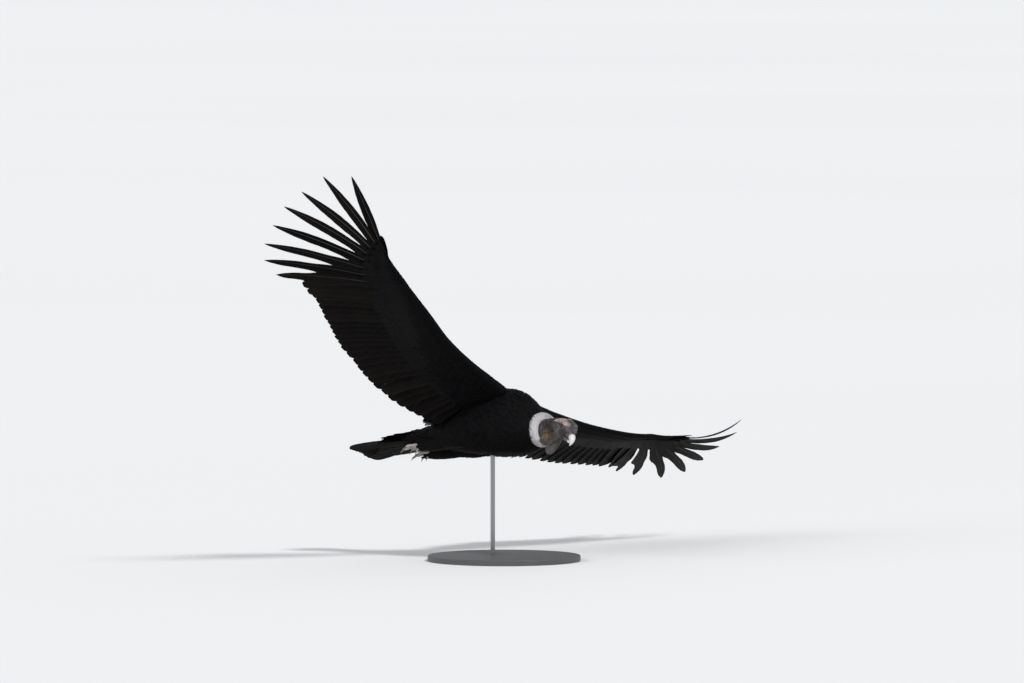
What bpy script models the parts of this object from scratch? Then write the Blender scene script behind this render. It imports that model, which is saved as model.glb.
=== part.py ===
"""A life-size Andean condor, an adult male, banking in flight on a plain display stand.

Lengths are in metres. The bird is built in its own frame, X forward, Y to its left and Z up,
from a point in the chest between the shoulders, and one empty banks it over the stand.
"""

import math

import bmesh
import bpy
import numpy as np

# Driving dimensions of the pose and the stand
GAP = 0.0003
FLIGHT_HEIGHT = 0.50
CLIMB = math.radians(5.2)
BANK = math.radians(-21.8)
BASE_RADIUS = 0.30
BASE_THICKNESS = 0.022
BASE_CHAMFER = 0.003
ROD_RADIUS = 0.009
ROD_PLACE = (-0.060, 0.010)
ROD_TOP_BELOW = 0.035

# Torso rings: place along the body, half width, height of the back, depth of the belly
TORSO = [
    (0.188, 0.050, 0.052, 0.050),
    (0.165, 0.074, 0.084, 0.066),
    (0.120, 0.102, 0.134, 0.082),
    (0.060, 0.128, 0.172, 0.088),
    (-0.020, 0.142, 0.180, 0.084),
    (-0.100, 0.140, 0.160, 0.076),
    (-0.180, 0.122, 0.128, 0.066),
    (-0.250, 0.096, 0.098, 0.054),
    (-0.310, 0.070, 0.066, 0.038),
    (-0.345, 0.052, 0.044, 0.024),
]

# Neck rings: centre, direction it faces, half width, height above and below the centre
NECK = [
    ((0.1885, -0.008, 0.000), (1.00, -0.10, -0.02), 0.046, 0.044, 0.046),
    ((0.2150, -0.012, 0.002), (1.00, -0.14, -0.05), 0.042, 0.040, 0.044),
    ((0.2400, -0.017, 0.005), (0.96, -0.20, -0.16), 0.037, 0.036, 0.040),
    ((0.2620, -0.022, 0.007), (0.87, -0.28, -0.36), 0.033, 0.033, 0.037),
    ((0.2808, -0.0267, 0.0063), (0.71, -0.451, -0.542), 0.030, 0.030, 0.034),
]
RUFF_CENTRE = (0.184, -0.008, 0.000)
RUFF_FACES = (0.94, -0.29, -0.17)
RUFF_RADIUS = 0.048
RUFF_THICKNESS = 0.016
RUFF_DEPTH = 0.023

# Rows of the ruff's locks: lean towards the head in radians, reach, number of locks
RUFF_ROWS = [(0.15, 0.016, 14), (0.95, 0.014, 11)]
LOCK_HALF_WIDTH = 0.0105
LOCK_HALF_THICKNESS = 0.0050

# The head's own frame: its middle between the eyes, the way it looks and its way up
HEAD_PLACE = (0.332, -0.0592, -0.0327)
HEAD_LOOKS = (0.71, -0.451, -0.542)
HEAD_UP = (0.575, -0.055, 0.81)

# Skull rings in the head's frame: place, half width, height above and depth below the middle
SKULL = [
    (-0.072, 0.030, 0.030, 0.034),
    (-0.052, 0.034, 0.037, 0.038),
    (-0.024, 0.036, 0.038, 0.038),
    (0.004, 0.033, 0.034, 0.035),
    (0.028, 0.026, 0.026, 0.030),
    (0.048, 0.019, 0.019, 0.026),
]

# Bill rings in the head's frame: place, height, half width, half height, slope of the ring
UPPER_BILL = [
    (0.0483, 0.002, 0.0178, 0.0160, 0.0),
    (0.0640, 0.003, 0.0155, 0.0150, 0.0),
    (0.0780, 0.002, 0.0132, 0.0142, 0.3),
    (0.0890, -0.002, 0.0112, 0.0130, 0.7),
    (0.0975, -0.009, 0.0085, 0.0100, 1.1),
    (0.1020, -0.018, 0.0050, 0.0062, 1.5),
    (0.1025, -0.027, 0.0014, 0.0018, 1.7),
]
LOWER_BILL = [
    (0.0483, -0.0185, 0.0150, 0.0070, 0.0),
    (0.0640, -0.0170, 0.0130, 0.0070, 0.0),
    (0.0780, -0.0165, 0.0105, 0.0065, 0.0),
    (0.0880, -0.0160, 0.0075, 0.0050, 0.0),
    (0.0945, -0.0155, 0.0035, 0.0028, 0.0),
]

# The comb's outline over forehead and bill, in the head's frame
COMB = [
    (-0.046, 0.026),
    (-0.038, 0.042),
    (-0.022, 0.049),
    (-0.004, 0.049),
    (0.014, 0.051),
    (0.032, 0.048),
    (0.046, 0.049),
    (0.060, 0.043),
    (0.070, 0.037),
    (0.077, 0.028),
    (0.078, 0.017),
    (0.072, 0.006),
    (0.050, 0.000),
    (0.000, 0.010),
]
COMB_LAYERS = [(-0.0095, 0.72), (-0.0065, 0.93), (0.0, 1.0), (0.0065, 0.93), (0.0095, 0.72)]

# Small features of the left half of the head, in the head's frame
EYE_PLACE = (0.008, 0.0262, 0.008)
EYE_RADIUS = 0.0085
EYE_FACES = (0.35, 1.0, 0.05)
LID_OUT = 0.0035
LID_RADIUS = 0.0085
LID_THICKNESS = 0.0026
EAR_PLACE = (-0.034, 0.0345, -0.002)
EAR_RIM_RADIUS = 0.0060
EAR_RIM_THICKNESS = 0.0020
EAR_CUP_RADIUS = 0.0046
NOSTRIL_PLACE = (0.062, 0.0075)
NOSTRIL_RADIUS = 0.0019
MOUTH_SLOT = [(0.014, 0.034), (0.060, 0.026), (0.060, 0.0155), (0.014, 0.026)]
MOUTH_HEIGHT = -0.013
MOUTH_HALF_OPENING = 0.0008

# The fold of skin under throat and neck, from the neck downwards: centre, half length, half thickness
WATTLE = [
    ((0.268, -0.026, -0.020), 0.042, 0.012),
    ((0.268, -0.034, -0.052), 0.042, 0.013),
    ((0.264, -0.042, -0.080), 0.036, 0.012),
    ((0.258, -0.047, -0.103), 0.027, 0.010),
    ((0.254, -0.050, -0.119), 0.013, 0.006),
]

# The tail's root: place along the body, half width, height of its top and bottom
TAIL_ROOT = [
    (-0.3453, 0.052, 0.044, -0.024),
    (-0.380, 0.056, 0.034, -0.020),
    (-0.420, 0.058, 0.022, -0.020),
    (-0.460, 0.056, 0.009, -0.020),
]

# Tail feathers, in pairs from the middle pair outwards
TAIL_PAIRS = 6
TAIL_FEATHER_ROOT = (-0.395, 0.038, 0.001)
TAIL_END = (-0.703, -0.030)
TAIL_TIP_SPREAD = 0.084
TAIL_ROUNDING = 0.035
TAIL_STEP = 0.0030
TAIL_SIDE_STEP = 0.0016
TAIL_TWIST = 0.06
TAIL_SAG = -0.006
TAIL_UP = [(0, 0, 1), (0, 0, 1)]
TAIL_WIDTHS = [
    (0.0, 0.010, 0.009),
    (0.4, 0.026, 0.022),
    (0.8, 0.030, 0.025),
    (0.95, 0.026, 0.021),
    (1.0, 0.014, 0.012),
]
TAIL_STATIONS = (0.0, 0.4, 0.95, 1.0)
TAIL_COVERT_WIDTHS = [
    (0.0, 0.010, 0.010),
    (0.5, 0.019, 0.019),
    (0.9, 0.016, 0.016),
    (1.0, 0.006, 0.006),
]

# Tail coverts above and below: side, height of their roots, reach
TAIL_COVERTS = [(1, 0.0085, 0.135), (-1, -0.0225, 0.150)]
TAIL_COVERTS_EACH = 4

# Thigh rings: place along the body, distance from its middle, height, half width, half height
THIGH = [
    (-0.080, 0.056, -0.026, 0.020, 0.022),
    (-0.120, 0.060, -0.030, 0.036, 0.036),
    (-0.180, 0.060, -0.034, 0.040, 0.036),
    (-0.240, 0.054, -0.038, 0.032, 0.028),
    (-0.310, 0.046, -0.041, 0.016, 0.016),
]

# The foot, seen trailing back: ankle, palm, radii of the shank, and the toes' ends and thickness
ANKLE = (-0.3104, 0.046, -0.041)
PALM = (-0.352, 0.045, -0.048)
SHANK_RADII = (0.0125, 0.0100, 0.0130)
TOES = [
    ((-0.346, 0.045, -0.048), (-0.440, 0.041, -0.055), 0.0085, 0.004),
    ((-0.346, 0.051, -0.048), (-0.414, 0.064, -0.053), 0.0075, 0.004),
    ((-0.346, 0.039, -0.048), (-0.414, 0.022, -0.053), 0.0075, 0.004),
    ((-0.344, 0.044, -0.053), (-0.380, 0.038, -0.066), 0.0060, 0.002),
]
KNUCKLES = [(0, 1.0), (0.22, 0.82), (0.40, 0.98), (0.60, 0.74), (0.80, 0.88), (0.95, 0.66)]
CLAW = [(1.04, 0.003, 0.42), (1.13, 0.010, 0.22), (1.16, 0.019, 0.06)]

# The wing's two edges as side places: distance from the body's middle, forward place, height
LEADING_EDGE = [
    (0.060, 0.045, 0.150),
    (0.150, 0.040, 0.163),
    (0.300, 0.034, 0.180),
    (0.500, 0.042, 0.208),
    (0.700, 0.070, 0.248),
    (0.820, 0.078, 0.280),
    (0.920, 0.082, 0.312),
    (1.020, 0.088, 0.342),
    (1.070, 0.090, 0.362),
]
TRAILING_EDGE = [
    (0.170, -0.235, 0.008),
    (0.250, -0.270, 0.020),
    (0.350, -0.318, 0.047),
    (0.450, -0.345, 0.081),
    (0.550, -0.352, 0.113),
    (0.650, -0.362, 0.153),
    (0.750, -0.340, 0.173),
    (0.850, -0.310, 0.192),
    (0.950, -0.283, 0.216),
    (1.050, -0.261, 0.240),
    (1.150, -0.241, 0.258),
]
ARM_START = 0.060
HAND_END = 1.070
HAND = 1.020
WRIST = 0.820
DROOP_START = 0.35
DROOP_LENGTH = 0.45

# The arm under its small feathers: distance from the body's middle, depth front to back, thickness
ARM = [
    (0.060, 0.190, 0.070),
    (0.150, 0.190, 0.066),
    (0.300, 0.180, 0.052),
    (0.500, 0.165, 0.042),
    (0.700, 0.140, 0.036),
    (0.820, 0.115, 0.032),
    (0.920, 0.080, 0.026),
    (1.020, 0.055, 0.019),
    (1.070, 0.030, 0.010),
]

# The arm's section: share of its depth behind the leading edge, share of its thickness
ARM_SECTION = [
    (0.00, 0.00),
    (0.06, 0.36),
    (0.25, 0.54),
    (0.55, 0.46),
    (1.00, 0.13),
    (1.00, -0.13),
    (0.55, -0.40),
    (0.25, -0.46),
    (0.06, -0.30),
]

# Fingertips of the eight outer flight feathers, from the leading one inwards
FINGER_TIPS = [
    (0.139, 1.427, 0.540),
    (0.068, 1.516, 0.516),
    (-0.013, 1.531, 0.459),
    (-0.082, 1.538, 0.404),
    (-0.143, 1.513, 0.344),
    (-0.214, 1.456, 0.299),
    (-0.279, 1.353, 0.276),
    (-0.290, 1.247, 0.256),
]
HAND_TWIST = {1: math.radians(3.5), -1: math.radians(-3.5)}

# Notch of each finger feather as a share of its length, and the sag and bow of the outer ten
NOTCHES = [0.68, 0.53, 0.40, 0.30, 0.23, 0.14, 0.08, 0.06]
PRIMARY_SAG = {
    1: [-0.009, -0.007, -0.002, 0.004, 0.010, 0.016, 0.021, 0.025, 0.028, 0.030],
    -1: [-0.009, -0.008, -0.006, -0.004, -0.002, 0.000, 0.002, 0.004, 0.006, 0.008],
}
PRIMARY_BOW = [0.006, 0.008, 0.010, 0.012, 0.014, 0.016, 0.017, 0.016, 0.012, 0.006]
SECONDARY_SAG = -0.010
SECONDARY_BOW = 0.004

SECONDARIES = 24
PRIMARIES = 10
PLAIN_PRIMARIES = 2
COVERED = 32
LEFT_DROOP = 0.013
SHINGLE = math.radians(-8.6)
ROOT_DEPTH = 0.72
COVERT_ROOT_DEPTH = 0.42
COVERT_LIFT = 0.0105
UPPER_COVERT_REACH = 0.42
UNDER_COVERT_REACH = 0.34
HAND_COVERT_SHARE = 0.72
HAND_WIDER = 1.22
VANE_THICKNESS = 0.0010
SHAFT_THICKNESS = 0.0030

# Width profiles of the feathers: place along the feather, half width inwards, half width outwards
FLIGHT_WIDTHS = [
    (0.0, 0.009, 0.008),
    (0.30, 0.028, 0.023),
    (0.65, 0.031, 0.026),
    (0.93, 0.027, 0.023),
    (1.0, 0.013, 0.010),
]
FLIGHT_STATIONS = (0.0, 0.35, 0.94, 1.0)
COVERT_WIDTHS = [
    (0.0, 0.012, 0.012),
    (0.5, 0.032, 0.034),
    (0.9, 0.028, 0.030),
    (1.0, 0.014, 0.016),
]
COVERT_STATIONS = (0.0, 0.88, 1.0)

SMOOTH_ANGLE = math.radians(40)


def read(table, at):
    """Reads a table of rows smoothly at a value of its first column."""
    rows = np.asarray(table, float)
    keys, values = rows[:, 0], rows[:, 1:]
    slopes = np.gradient(values, keys, axis=0)
    i = int(np.clip(np.searchsorted(keys, at, side="right") - 1, 0, len(keys) - 2))
    span = keys[i + 1] - keys[i]
    u = (at - keys[i]) / span
    return (
        (2 * u**3 - 3 * u**2 + 1) * values[i]
        + (u**3 - 2 * u**2 + u) * span * slopes[i]
        + (3 * u**2 - 2 * u**3) * values[i + 1]
        + (u**3 - u**2) * span * slopes[i + 1]
    )


def unit(vector):
    vector = np.asarray(vector, float)
    return vector / np.linalg.norm(vector)


def turned(vector, axis, angle):
    """A vector turned about a unit axis."""
    vector, axis = np.asarray(vector, float), unit(axis)
    return (
        vector * math.cos(angle)
        + np.cross(axis, vector) * math.sin(angle)
        + axis * (axis @ vector) * (1 - math.cos(angle))
    )


def material(name, color, roughness, metallic=0.0):
    made = bpy.data.materials.new(name)
    made.use_nodes = True
    shader = made.node_tree.nodes["Principled BSDF"]
    shader.inputs["Base Color"].default_value = (*color, 1)
    shader.inputs["Roughness"].default_value = roughness
    shader.inputs["Metallic"].default_value = metallic
    return made


def solid(name, points, faces, finish=None):
    """A closed mesh object, with its faces turned outwards."""
    mesh = bpy.data.meshes.new(name)
    mesh.from_pydata([tuple(map(float, p)) for p in points], [], faces)
    shape = bmesh.new()
    shape.from_mesh(mesh)
    bmesh.ops.recalc_face_normals(shape, faces=shape.faces)
    if shape.calc_volume(signed=True) < 0:
        bmesh.ops.reverse_faces(shape, faces=shape.faces)
    shape.to_mesh(mesh)
    shape.free()
    made = bpy.data.objects.new(name, mesh)
    bpy.context.scene.collection.objects.link(made)
    if finish:
        mesh.materials.append(finish)
    return made


def loft(name, rings, finish=None):
    """A closed body through rings of equally many points, with flat ends."""
    count = len(rings[0])
    points = [p for ring in rings for p in ring]
    faces = []
    for k in range(len(rings) - 1):
        for j in range(count):
            a, b = k * count + j, k * count + (j + 1) % count
            faces.append((a, b, b + count))
            faces.append((a, b + count, a + count))
    faces.append(tuple(range(count)))
    faces.append(tuple(range(len(points) - 1, len(points) - 1 - count, -1)))
    return solid(name, points, faces, finish)


def oval(centre, across, up, half_width, above, below, count=20):
    """A ring of points: half_width to each side, above and below its centre by their own heights."""
    centre, across, up = (np.asarray(v, float) for v in (centre, across, up))
    ring = []
    for j in range(count):
        angle = 2 * math.pi * j / count
        height = above if math.sin(angle) > 0 else below
        ring.append(centre + across * half_width * math.cos(angle) + up * height * math.sin(angle))
    return ring


def circle(centre, across, up, radius, count):
    return oval(centre, across, up, radius, radius, radius, count)


def apply_modifiers(made):
    """Replaces an object's mesh by the result of its modifiers."""
    graph = bpy.context.evaluated_depsgraph_get()
    graph.update()
    mesh = bpy.data.meshes.new_from_object(made.evaluated_get(graph))
    made.modifiers.clear()
    made.data = mesh


def largest_piece(made):
    """Keeps only the largest closed surface of a mesh."""
    shape = bmesh.new()
    shape.from_mesh(made.data)
    left, groups = set(shape.verts), []
    while left:
        stack = [left.pop()]
        group = set(stack)
        while stack:
            for edge in stack.pop().link_edges:
                for vert in edge.verts:
                    if vert in left:
                        left.discard(vert)
                        group.add(vert)
                        stack.append(vert)
        groups.append(group)
    groups.sort(key=len)
    loose = [vert for group in groups[:-1] for vert in group]
    bmesh.ops.delete(shape, geom=loose, context="VERTS")
    shape.to_mesh(made.data)
    shape.free()


def combine(made, others, operation):
    """One Boolean of a body with a collection of others, which are then removed."""
    group = bpy.data.collections.new("pieces")
    bpy.context.scene.collection.children.link(group)
    for other in others:
        bpy.context.scene.collection.objects.unlink(other)
        group.objects.link(other)
    step = made.modifiers.new("combine", "BOOLEAN")
    step.operation = operation
    step.operand_type = "COLLECTION"
    step.collection = group
    step.solver = "MANIFOLD"
    apply_modifiers(made)
    for other in others:
        bpy.data.objects.remove(other)
    bpy.data.collections.remove(group)
    largest_piece(made)
    return made


def join(made, others):
    return combine(made, others, "UNION")


def cut(made, others):
    return combine(made, others, "DIFFERENCE")


def clearance(rings, ends=GAP):
    """A cutter through rings that were already grown sideways; its two ends are pushed out as well."""
    first, last = np.array(rings[0]), np.array(rings[-1])
    out_first = unit(first.mean(0) - np.array(rings[1]).mean(0))
    out_last = unit(last.mean(0) - np.array(rings[-2]).mean(0))
    return loft("keep_clear", [first + out_first * ends, *rings, last + out_last * ends])


def torso_rings(grow=0.0):
    """The torso's rings, grown sideways when they serve as a cutter."""
    return [
        oval((x, 0, 0), (0, 1, 0), (0, 0, 1), w + grow, top + grow, low + grow)
        for x, w, top, low in TORSO
    ]


def edge_point(table, y, side):
    """A point of the leading or the trailing edge; the left wing hangs a little lower."""
    y = min(max(y, table[0][0]), table[-1][0])
    x, z = read(table, y)
    droop = LEFT_DROOP if side > 0 else 0.0
    share = min(max((y - DROOP_START) / DROOP_LENGTH, 0.0), 1.0)
    return np.array((x, y, z - droop * share * share * (3 - 2 * share)))


def chord_frame(y, side):
    """The leading edge, the direction from it to the trailing edge, and the wing's upward normal."""
    front = edge_point(LEADING_EDGE, y, side)
    rear = edge_point(TRAILING_EDGE, y, side)
    rear[1] = y
    back = unit(rear - front)
    return front, back, unit(np.cross(back, (0, -1, 0)))


def arm_ring(y, side):
    """The arm's section: round in front, thinning backwards over the feather roots."""
    front, back, up = chord_frame(y, side)
    depth, thick = read(ARM, y)
    return [front + back * depth * along + up * thick * rise for along, rise in ARM_SECTION]


def mirrored(points, side):
    """Points of the left half, or their mirror images for the right half (side -1)."""
    return [(p[0], p[1] * side, p[2]) for p in points]


def vane(root, tip, ups, shape, roll=0.0, side=1):
    """One feather: a thin closed blade that tapers, bends and twists, thicker along its shaft.

    ups are its upward directions at root and tip. shape holds rows of a place along the feather
    with the half widths towards the body and away from it, the places that get a ring of points,
    the sag that lifts the tip, the bow towards the leading side and the shaft's thickness, if any.
    """
    widths, stations, sag, bow, shaft = shape
    root, tip = np.asarray(root, float), np.asarray(tip, float)
    along = unit(tip - root)
    first, last = (unit(np.asarray(up) - along * (along @ np.asarray(up))) for up in ups)
    middle = unit(first + last)
    lead = np.cross(along, middle)
    points = []
    for t in stations:
        inner, outer = read(widths, t)
        arch = 4 * t * (1 - t)
        steep = 4 * (1 - 2 * t)
        centre = root + (tip - root) * t + (lead * bow - middle * sag) * arch
        slope = unit(tip - root + (lead * bow - middle * sag) * steep)
        up = turned(unit(first * (1 - t) + last * t), along, roll)
        normal = unit(up - slope * (up @ slope))
        across = np.cross(normal, slope)
        thick = VANE_THICKNESS * (1 - 0.4 * t)
        rows = [(inner, thick), (-outer, thick)]
        if shaft:
            rows.insert(1, (0.0, max(thick, shaft * (1 - t))))
        for offset, height in rows:
            points.append(centre + across * offset + normal * height / 2)
            points.append(centre + across * offset - normal * height / 2)
    ring = len(rows) * 2
    faces = []

    def quad(a, b, c, d):
        faces.append((a, b, c))
        faces.append((a, c, d))

    for k in range(len(stations) - 1):
        low, high = k * ring, (k + 1) * ring
        for j in range(0, ring - 2, 2):
            quad(low + j, low + j + 2, high + j + 2, high + j)
            quad(low + j + 1, low + j + 3, high + j + 3, high + j + 1)
        quad(low, low + 1, high + 1, high)
        quad(low + ring - 2, low + ring - 1, high + ring - 1, high + ring - 2)
    border = [j for j in range(0, ring, 2)] + [j for j in range(ring - 1, 0, -2)]
    faces.append(tuple(border))
    faces.append(tuple(high + j for j in reversed(border)))
    return solid("vane", mirrored(points, side), faces)


def finger_shape(notch):
    """Widths and stations of a finger feather: narrow past its notch, fullest further out, pointed."""
    free = 1 - notch
    widths = [
        (0.0, 0.006, 0.005),
        (0.60 * notch, 0.010 + 0.036 * notch, 0.007 + 0.014 * notch),
        (notch, 0.013 + 0.045 * notch, 0.009 + 0.016 * notch),
        (notch + 0.14 * free, 0.014 + 0.010 * notch, 0.009 + 0.007 * notch),
        (notch + 0.45 * free, 0.020, 0.015),
        (notch + 0.76 * free, 0.015, 0.011),
        (1.0, 0.002, 0.002),
    ]
    return widths, [place for place, inner, outer in widths]


def secondary(i, side):
    """Root's distance from the body, depth of the root, tip and shape of a feather of the forearm."""
    share = i / (SECONDARIES - 1)
    y = 0.150 + (WRIST - 0.160) * share
    tip = edge_point(TRAILING_EDGE, 0.170 + 0.856 * share, side)
    return y, ROOT_DEPTH, tip, (FLIGHT_WIDTHS, FLIGHT_STATIONS, SECONDARY_SAG, SECONDARY_BOW, None)


def primary(i, side):
    """The same facts for a feather of the hand; the fingertips turn with the hand about the wrist."""
    share = i / (PRIMARIES - 1)
    y = WRIST + 0.018 + 0.215 * share**0.85
    sag, bow = PRIMARY_SAG[side][i], PRIMARY_BOW[i]
    if i < PLAIN_PRIMARIES:
        tip = edge_point(TRAILING_EDGE, 1.072 + 0.064 * i, side) - (0, 0, 0.004)
        widths = [(t, inner * HAND_WIDER, outer * HAND_WIDER) for t, inner, outer in FLIGHT_WIDTHS]
        shape = (widths, FLIGHT_STATIONS, sag, bow, None)
    else:
        tip = np.array(FINGER_TIPS[PRIMARIES - 1 - i])
        shape = (*finger_shape(NOTCHES[i - PLAIN_PRIMARIES]), sag, bow, SHAFT_THICKNESS)
    wrist = edge_point(LEADING_EDGE, WRIST, 0)
    hand = edge_point(LEADING_EDGE, HAND, 0)
    twist = HAND_TWIST[side] * min(1.0, (i + 1) / (PLAIN_PRIMARIES + 1))
    tip = wrist + turned(tip - wrist, hand - wrist, twist)
    return y, ROOT_DEPTH - 0.36 * share, tip, shape


def flight_feathers(side):
    """The flight feathers from the body outwards, each as a set of the facts that shape it."""
    places = [secondary(i, side) for i in range(SECONDARIES)]
    places += [primary(i, side) for i in range(PRIMARIES)]
    feathers = []
    for i, (y, depth, tip, shape) in enumerate(places):
        front, back, up = chord_frame(y, side)
        size, thick = read(ARM, y)
        feathers.append(
            {
                "root": front + back * size * depth,
                "tip": tip,
                "shape": shape,
                "covert_root": front + back * size * COVERT_ROOT_DEPTH,
                "thick": thick,
                "cover": 1.0 if i < SECONDARIES else HAND_COVERT_SHARE,
            }
        )
    for i, feather in enumerate(feathers):
        before, after = feathers[max(i - 1, 0)], feathers[min(i + 1, len(feathers) - 1)]
        along = feather["tip"] - feather["root"]
        spans = [after[end] - before[end] for end in ("root", "tip")]
        feather["ups"] = [unit(np.cross(span, along)) for span in spans]
    return feathers


def covert(feather, side, level):
    """A covert that follows a flight feather above it (level 1) or below it (level -1)."""
    root, tip, (first, last) = feather["root"], feather["tip"], feather["ups"]
    reach = (UPPER_COVERT_REACH if level > 0 else UNDER_COVERT_REACH) * feather["cover"]
    up = unit(first * (1 - reach / 2) + last * reach / 2)
    lift = up * level * min(COVERT_LIFT, 0.40 * feather["thick"])
    sag, bow = feather["shape"][2:4]
    lead = np.cross(unit(tip - root), up)
    bend = (lead * bow - up * sag) * 4 * reach * (1 - reach)
    end = root + (tip - root) * reach + bend + lift
    start = feather["covert_root"] + lift
    twist = unit(first * (1 - reach) + last * reach)
    shape = (COVERT_WIDTHS, COVERT_STATIONS, 0.0, 0.0, None)
    return vane(start, end, (first, twist), shape, SHINGLE, side)


def wing(name, side, finish):
    """The arm with its flight feathers, and coverts over every second one."""
    stations = np.linspace(ARM_START, HAND_END, 11)
    arm = loft(name, [mirrored(arm_ring(y, side), side) for y in stations], finish)
    pieces = []
    for i, feather in enumerate(flight_feathers(side)):
        root, tip, ups, shape = (feather[key] for key in ("root", "tip", "ups", "shape"))
        pieces.append(vane(root, tip, ups, shape, SHINGLE, side))
        if i % 2 and i < COVERED:
            pieces.append(covert(feather, side, 1))
            pieces.append(covert(feather, side, -1))
    return cut(join(arm, pieces), [clearance(torso_rings(GAP))])


def cylinder(name, start, end, radius, sides, finish=None):
    """A round rod between two points."""
    start, end = np.asarray(start, float), np.asarray(end, float)
    along = unit(end - start)
    across = unit(np.cross(along, (0.31, 0.95, 0.05)))
    up = np.cross(along, across)
    return loft(name, [circle(place, across, up, radius, sides) for place in (start, end)], finish)


def ball(name, centre, radius, rows=7, finish=None):
    """A sphere of a few rows, with small flat caps at its poles."""
    rings = []
    for k in range(rows + 1):
        angle = math.pi * (k + 0.35) / (rows + 0.70)
        middle = np.asarray(centre) + (0, radius * math.cos(angle), 0)
        rings.append(circle(middle, (1, 0, 0), (0, 0, 1), radius * math.sin(angle), 2 * rows))
    return loft(name, rings, finish)


def ring_frame(facing):
    """Two directions at right angles to the one a ring faces."""
    first = unit(np.cross(facing, (0, 0, 1)))
    return first, np.cross(facing, first)


def ring_body(name, centre, facing, radius, section, counts, finish=None):
    """A closed ring. section holds its half sizes outwards and along its axis, counts its steps."""
    facing = unit(facing)
    first, second = ring_frame(facing)
    (thickness, depth), (count, sides) = section, counts
    points, faces = [], []
    for i in range(count):
        angle = 2 * math.pi * i / count
        out = first * math.cos(angle) + second * math.sin(angle)
        for j in range(sides):
            turn = 2 * math.pi * j / sides
            reach = out * (radius + thickness * math.cos(turn)) + facing * depth * math.sin(turn)
            points.append(np.asarray(centre) + reach)
    for i in range(count):
        for j in range(sides):
            a = i * sides + j
            b = i * sides + (j + 1) % sides
            c = ((i + 1) % count) * sides + (j + 1) % sides
            d = ((i + 1) % count) * sides + j
            faces.append((a, b, c))
            faces.append((a, c, d))
    return solid(name, points, faces, finish)


def head_axes():
    """Forward, left and up of the head in the bird's frame."""
    forward = unit(HEAD_LOOKS)
    up = np.asarray(HEAD_UP) - forward * (forward @ np.asarray(HEAD_UP))
    up = unit(up)
    return forward, np.cross(up, forward), up


def from_head(point):
    """A point of the head's frame in the bird's frame."""
    forward, left, up = head_axes()
    return np.asarray(HEAD_PLACE) + forward * point[0] + left * point[1] + up * point[2]


def in_head(rings):
    return [[from_head(p) for p in ring] for ring in rings]


def neck_rings(grow=0.0):
    """The neck's rings, alternately wider and narrower as folds of its bare skin."""
    rings = []
    count = 13
    table = [(i, *c, *d, w, a, b) for i, (c, d, w, a, b) in enumerate(NECK)]
    for k in range(count):
        row = read(table, (len(NECK) - 1) * k / (count - 1))
        facing = unit(row[3:6])
        side = unit(np.cross((0, 0, 1), facing))
        fold = 0.0016 * (-1) ** k if 0 < k < count - 1 else 0.0
        w, a, b = (value + fold + grow for value in row[6:9])
        rings.append(oval(row[:3], side, np.cross(facing, side), w, a, b))
    return rings


def skull_rings(grow=0.0):
    rings = []
    for x, w, above, below in SKULL:
        rings.append(oval((x, 0, 0), (0, 1, 0), (0, 0, 1), w + grow, above + grow, below + grow))
    return in_head(rings)


def bill_rings(table, grow=0.0):
    rings = []
    for x, z, w, h, slope in table:
        up = (math.sin(slope), 0, math.cos(slope))
        rings.append(oval((x, 0, z), (0, 1, 0), up, w + grow, h + grow, h + grow, 16))
    return in_head(rings)


def head(finish):
    """The skull with lids round the eye sockets, cupped ears and the corners of the mouth."""
    skull = loft("head", skull_rings(), finish)
    forward, left, up = head_axes()
    extras, hollows = [], []
    for side in (1, -1):
        eye = np.array(EYE_PLACE) * (1, side, 1)
        ear = np.array(EAR_PLACE) * (1, side, 1)
        facing = forward * EYE_FACES[0] + left * EYE_FACES[1] * side + up * EYE_FACES[2]
        lids = (from_head(eye + (0, LID_OUT * side, 0)), facing, LID_RADIUS)
        extras.append(ring_body("lids", *lids, (LID_THICKNESS, LID_THICKNESS), (14, 6)))
        rim = (from_head(ear - (0, 0.0010 * side, 0)), left * side, EAR_RIM_RADIUS)
        extras.append(ring_body("ear_rim", *rim, (EAR_RIM_THICKNESS, EAR_RIM_THICKNESS), (12, 5)))
        hollows.append(ball("socket", from_head(eye), EYE_RADIUS + GAP))
        hollows.append(ball("ear_cup", from_head(ear + (0, 0.0015 * side, 0)), EAR_CUP_RADIUS, 5))
        hollows.append(mouth_corner(side))
    return cut(join(skull, extras), hollows)


def mouth_corner(side):
    """A shallow slot in the cheek, where the line of the mouth ends."""
    points = []
    for x, y in MOUTH_SLOT:
        points.append(from_head((x, y * side, MOUTH_HEIGHT + MOUTH_HALF_OPENING)))
        points.append(from_head((x, y * side, MOUTH_HEIGHT - MOUTH_HALF_OPENING)))
    faces = [(0, 2, 4, 6), (1, 7, 5, 3), (0, 1, 3, 2), (2, 3, 5, 4), (4, 5, 7, 6), (6, 7, 1, 0)]
    return solid("mouth_corner", points, faces)


def upper_bill(finish):
    bill = loft("bill_upper", bill_rings(UPPER_BILL), finish)
    nostril = [from_head((NOSTRIL_PLACE[0], y, NOSTRIL_PLACE[1])) for y in (-0.03, 0.03)]
    return cut(bill, [cylinder("nostril", *nostril, NOSTRIL_RADIUS, 10)])


def lower_bill(finish):
    bill = loft("bill_lower", bill_rings(LOWER_BILL), finish)
    return cut(bill, [clearance(bill_rings(UPPER_BILL, GAP))])


def comb(finish):
    """The fleshy crest: its outline in five layers, cut clear of skull and bill."""
    middle = np.mean(COMB, axis=0)
    rings = []
    for y, share in COMB_LAYERS:
        ring = [middle + (np.array(p) - middle) * share for p in COMB]
        rings.append([from_head((p[0], y, p[1])) for p in ring])
    body = loft("comb", rings, finish)
    clear = [clearance(skull_rings(GAP)), clearance(bill_rings(UPPER_BILL, GAP))]
    return cut(body, clear)


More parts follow.
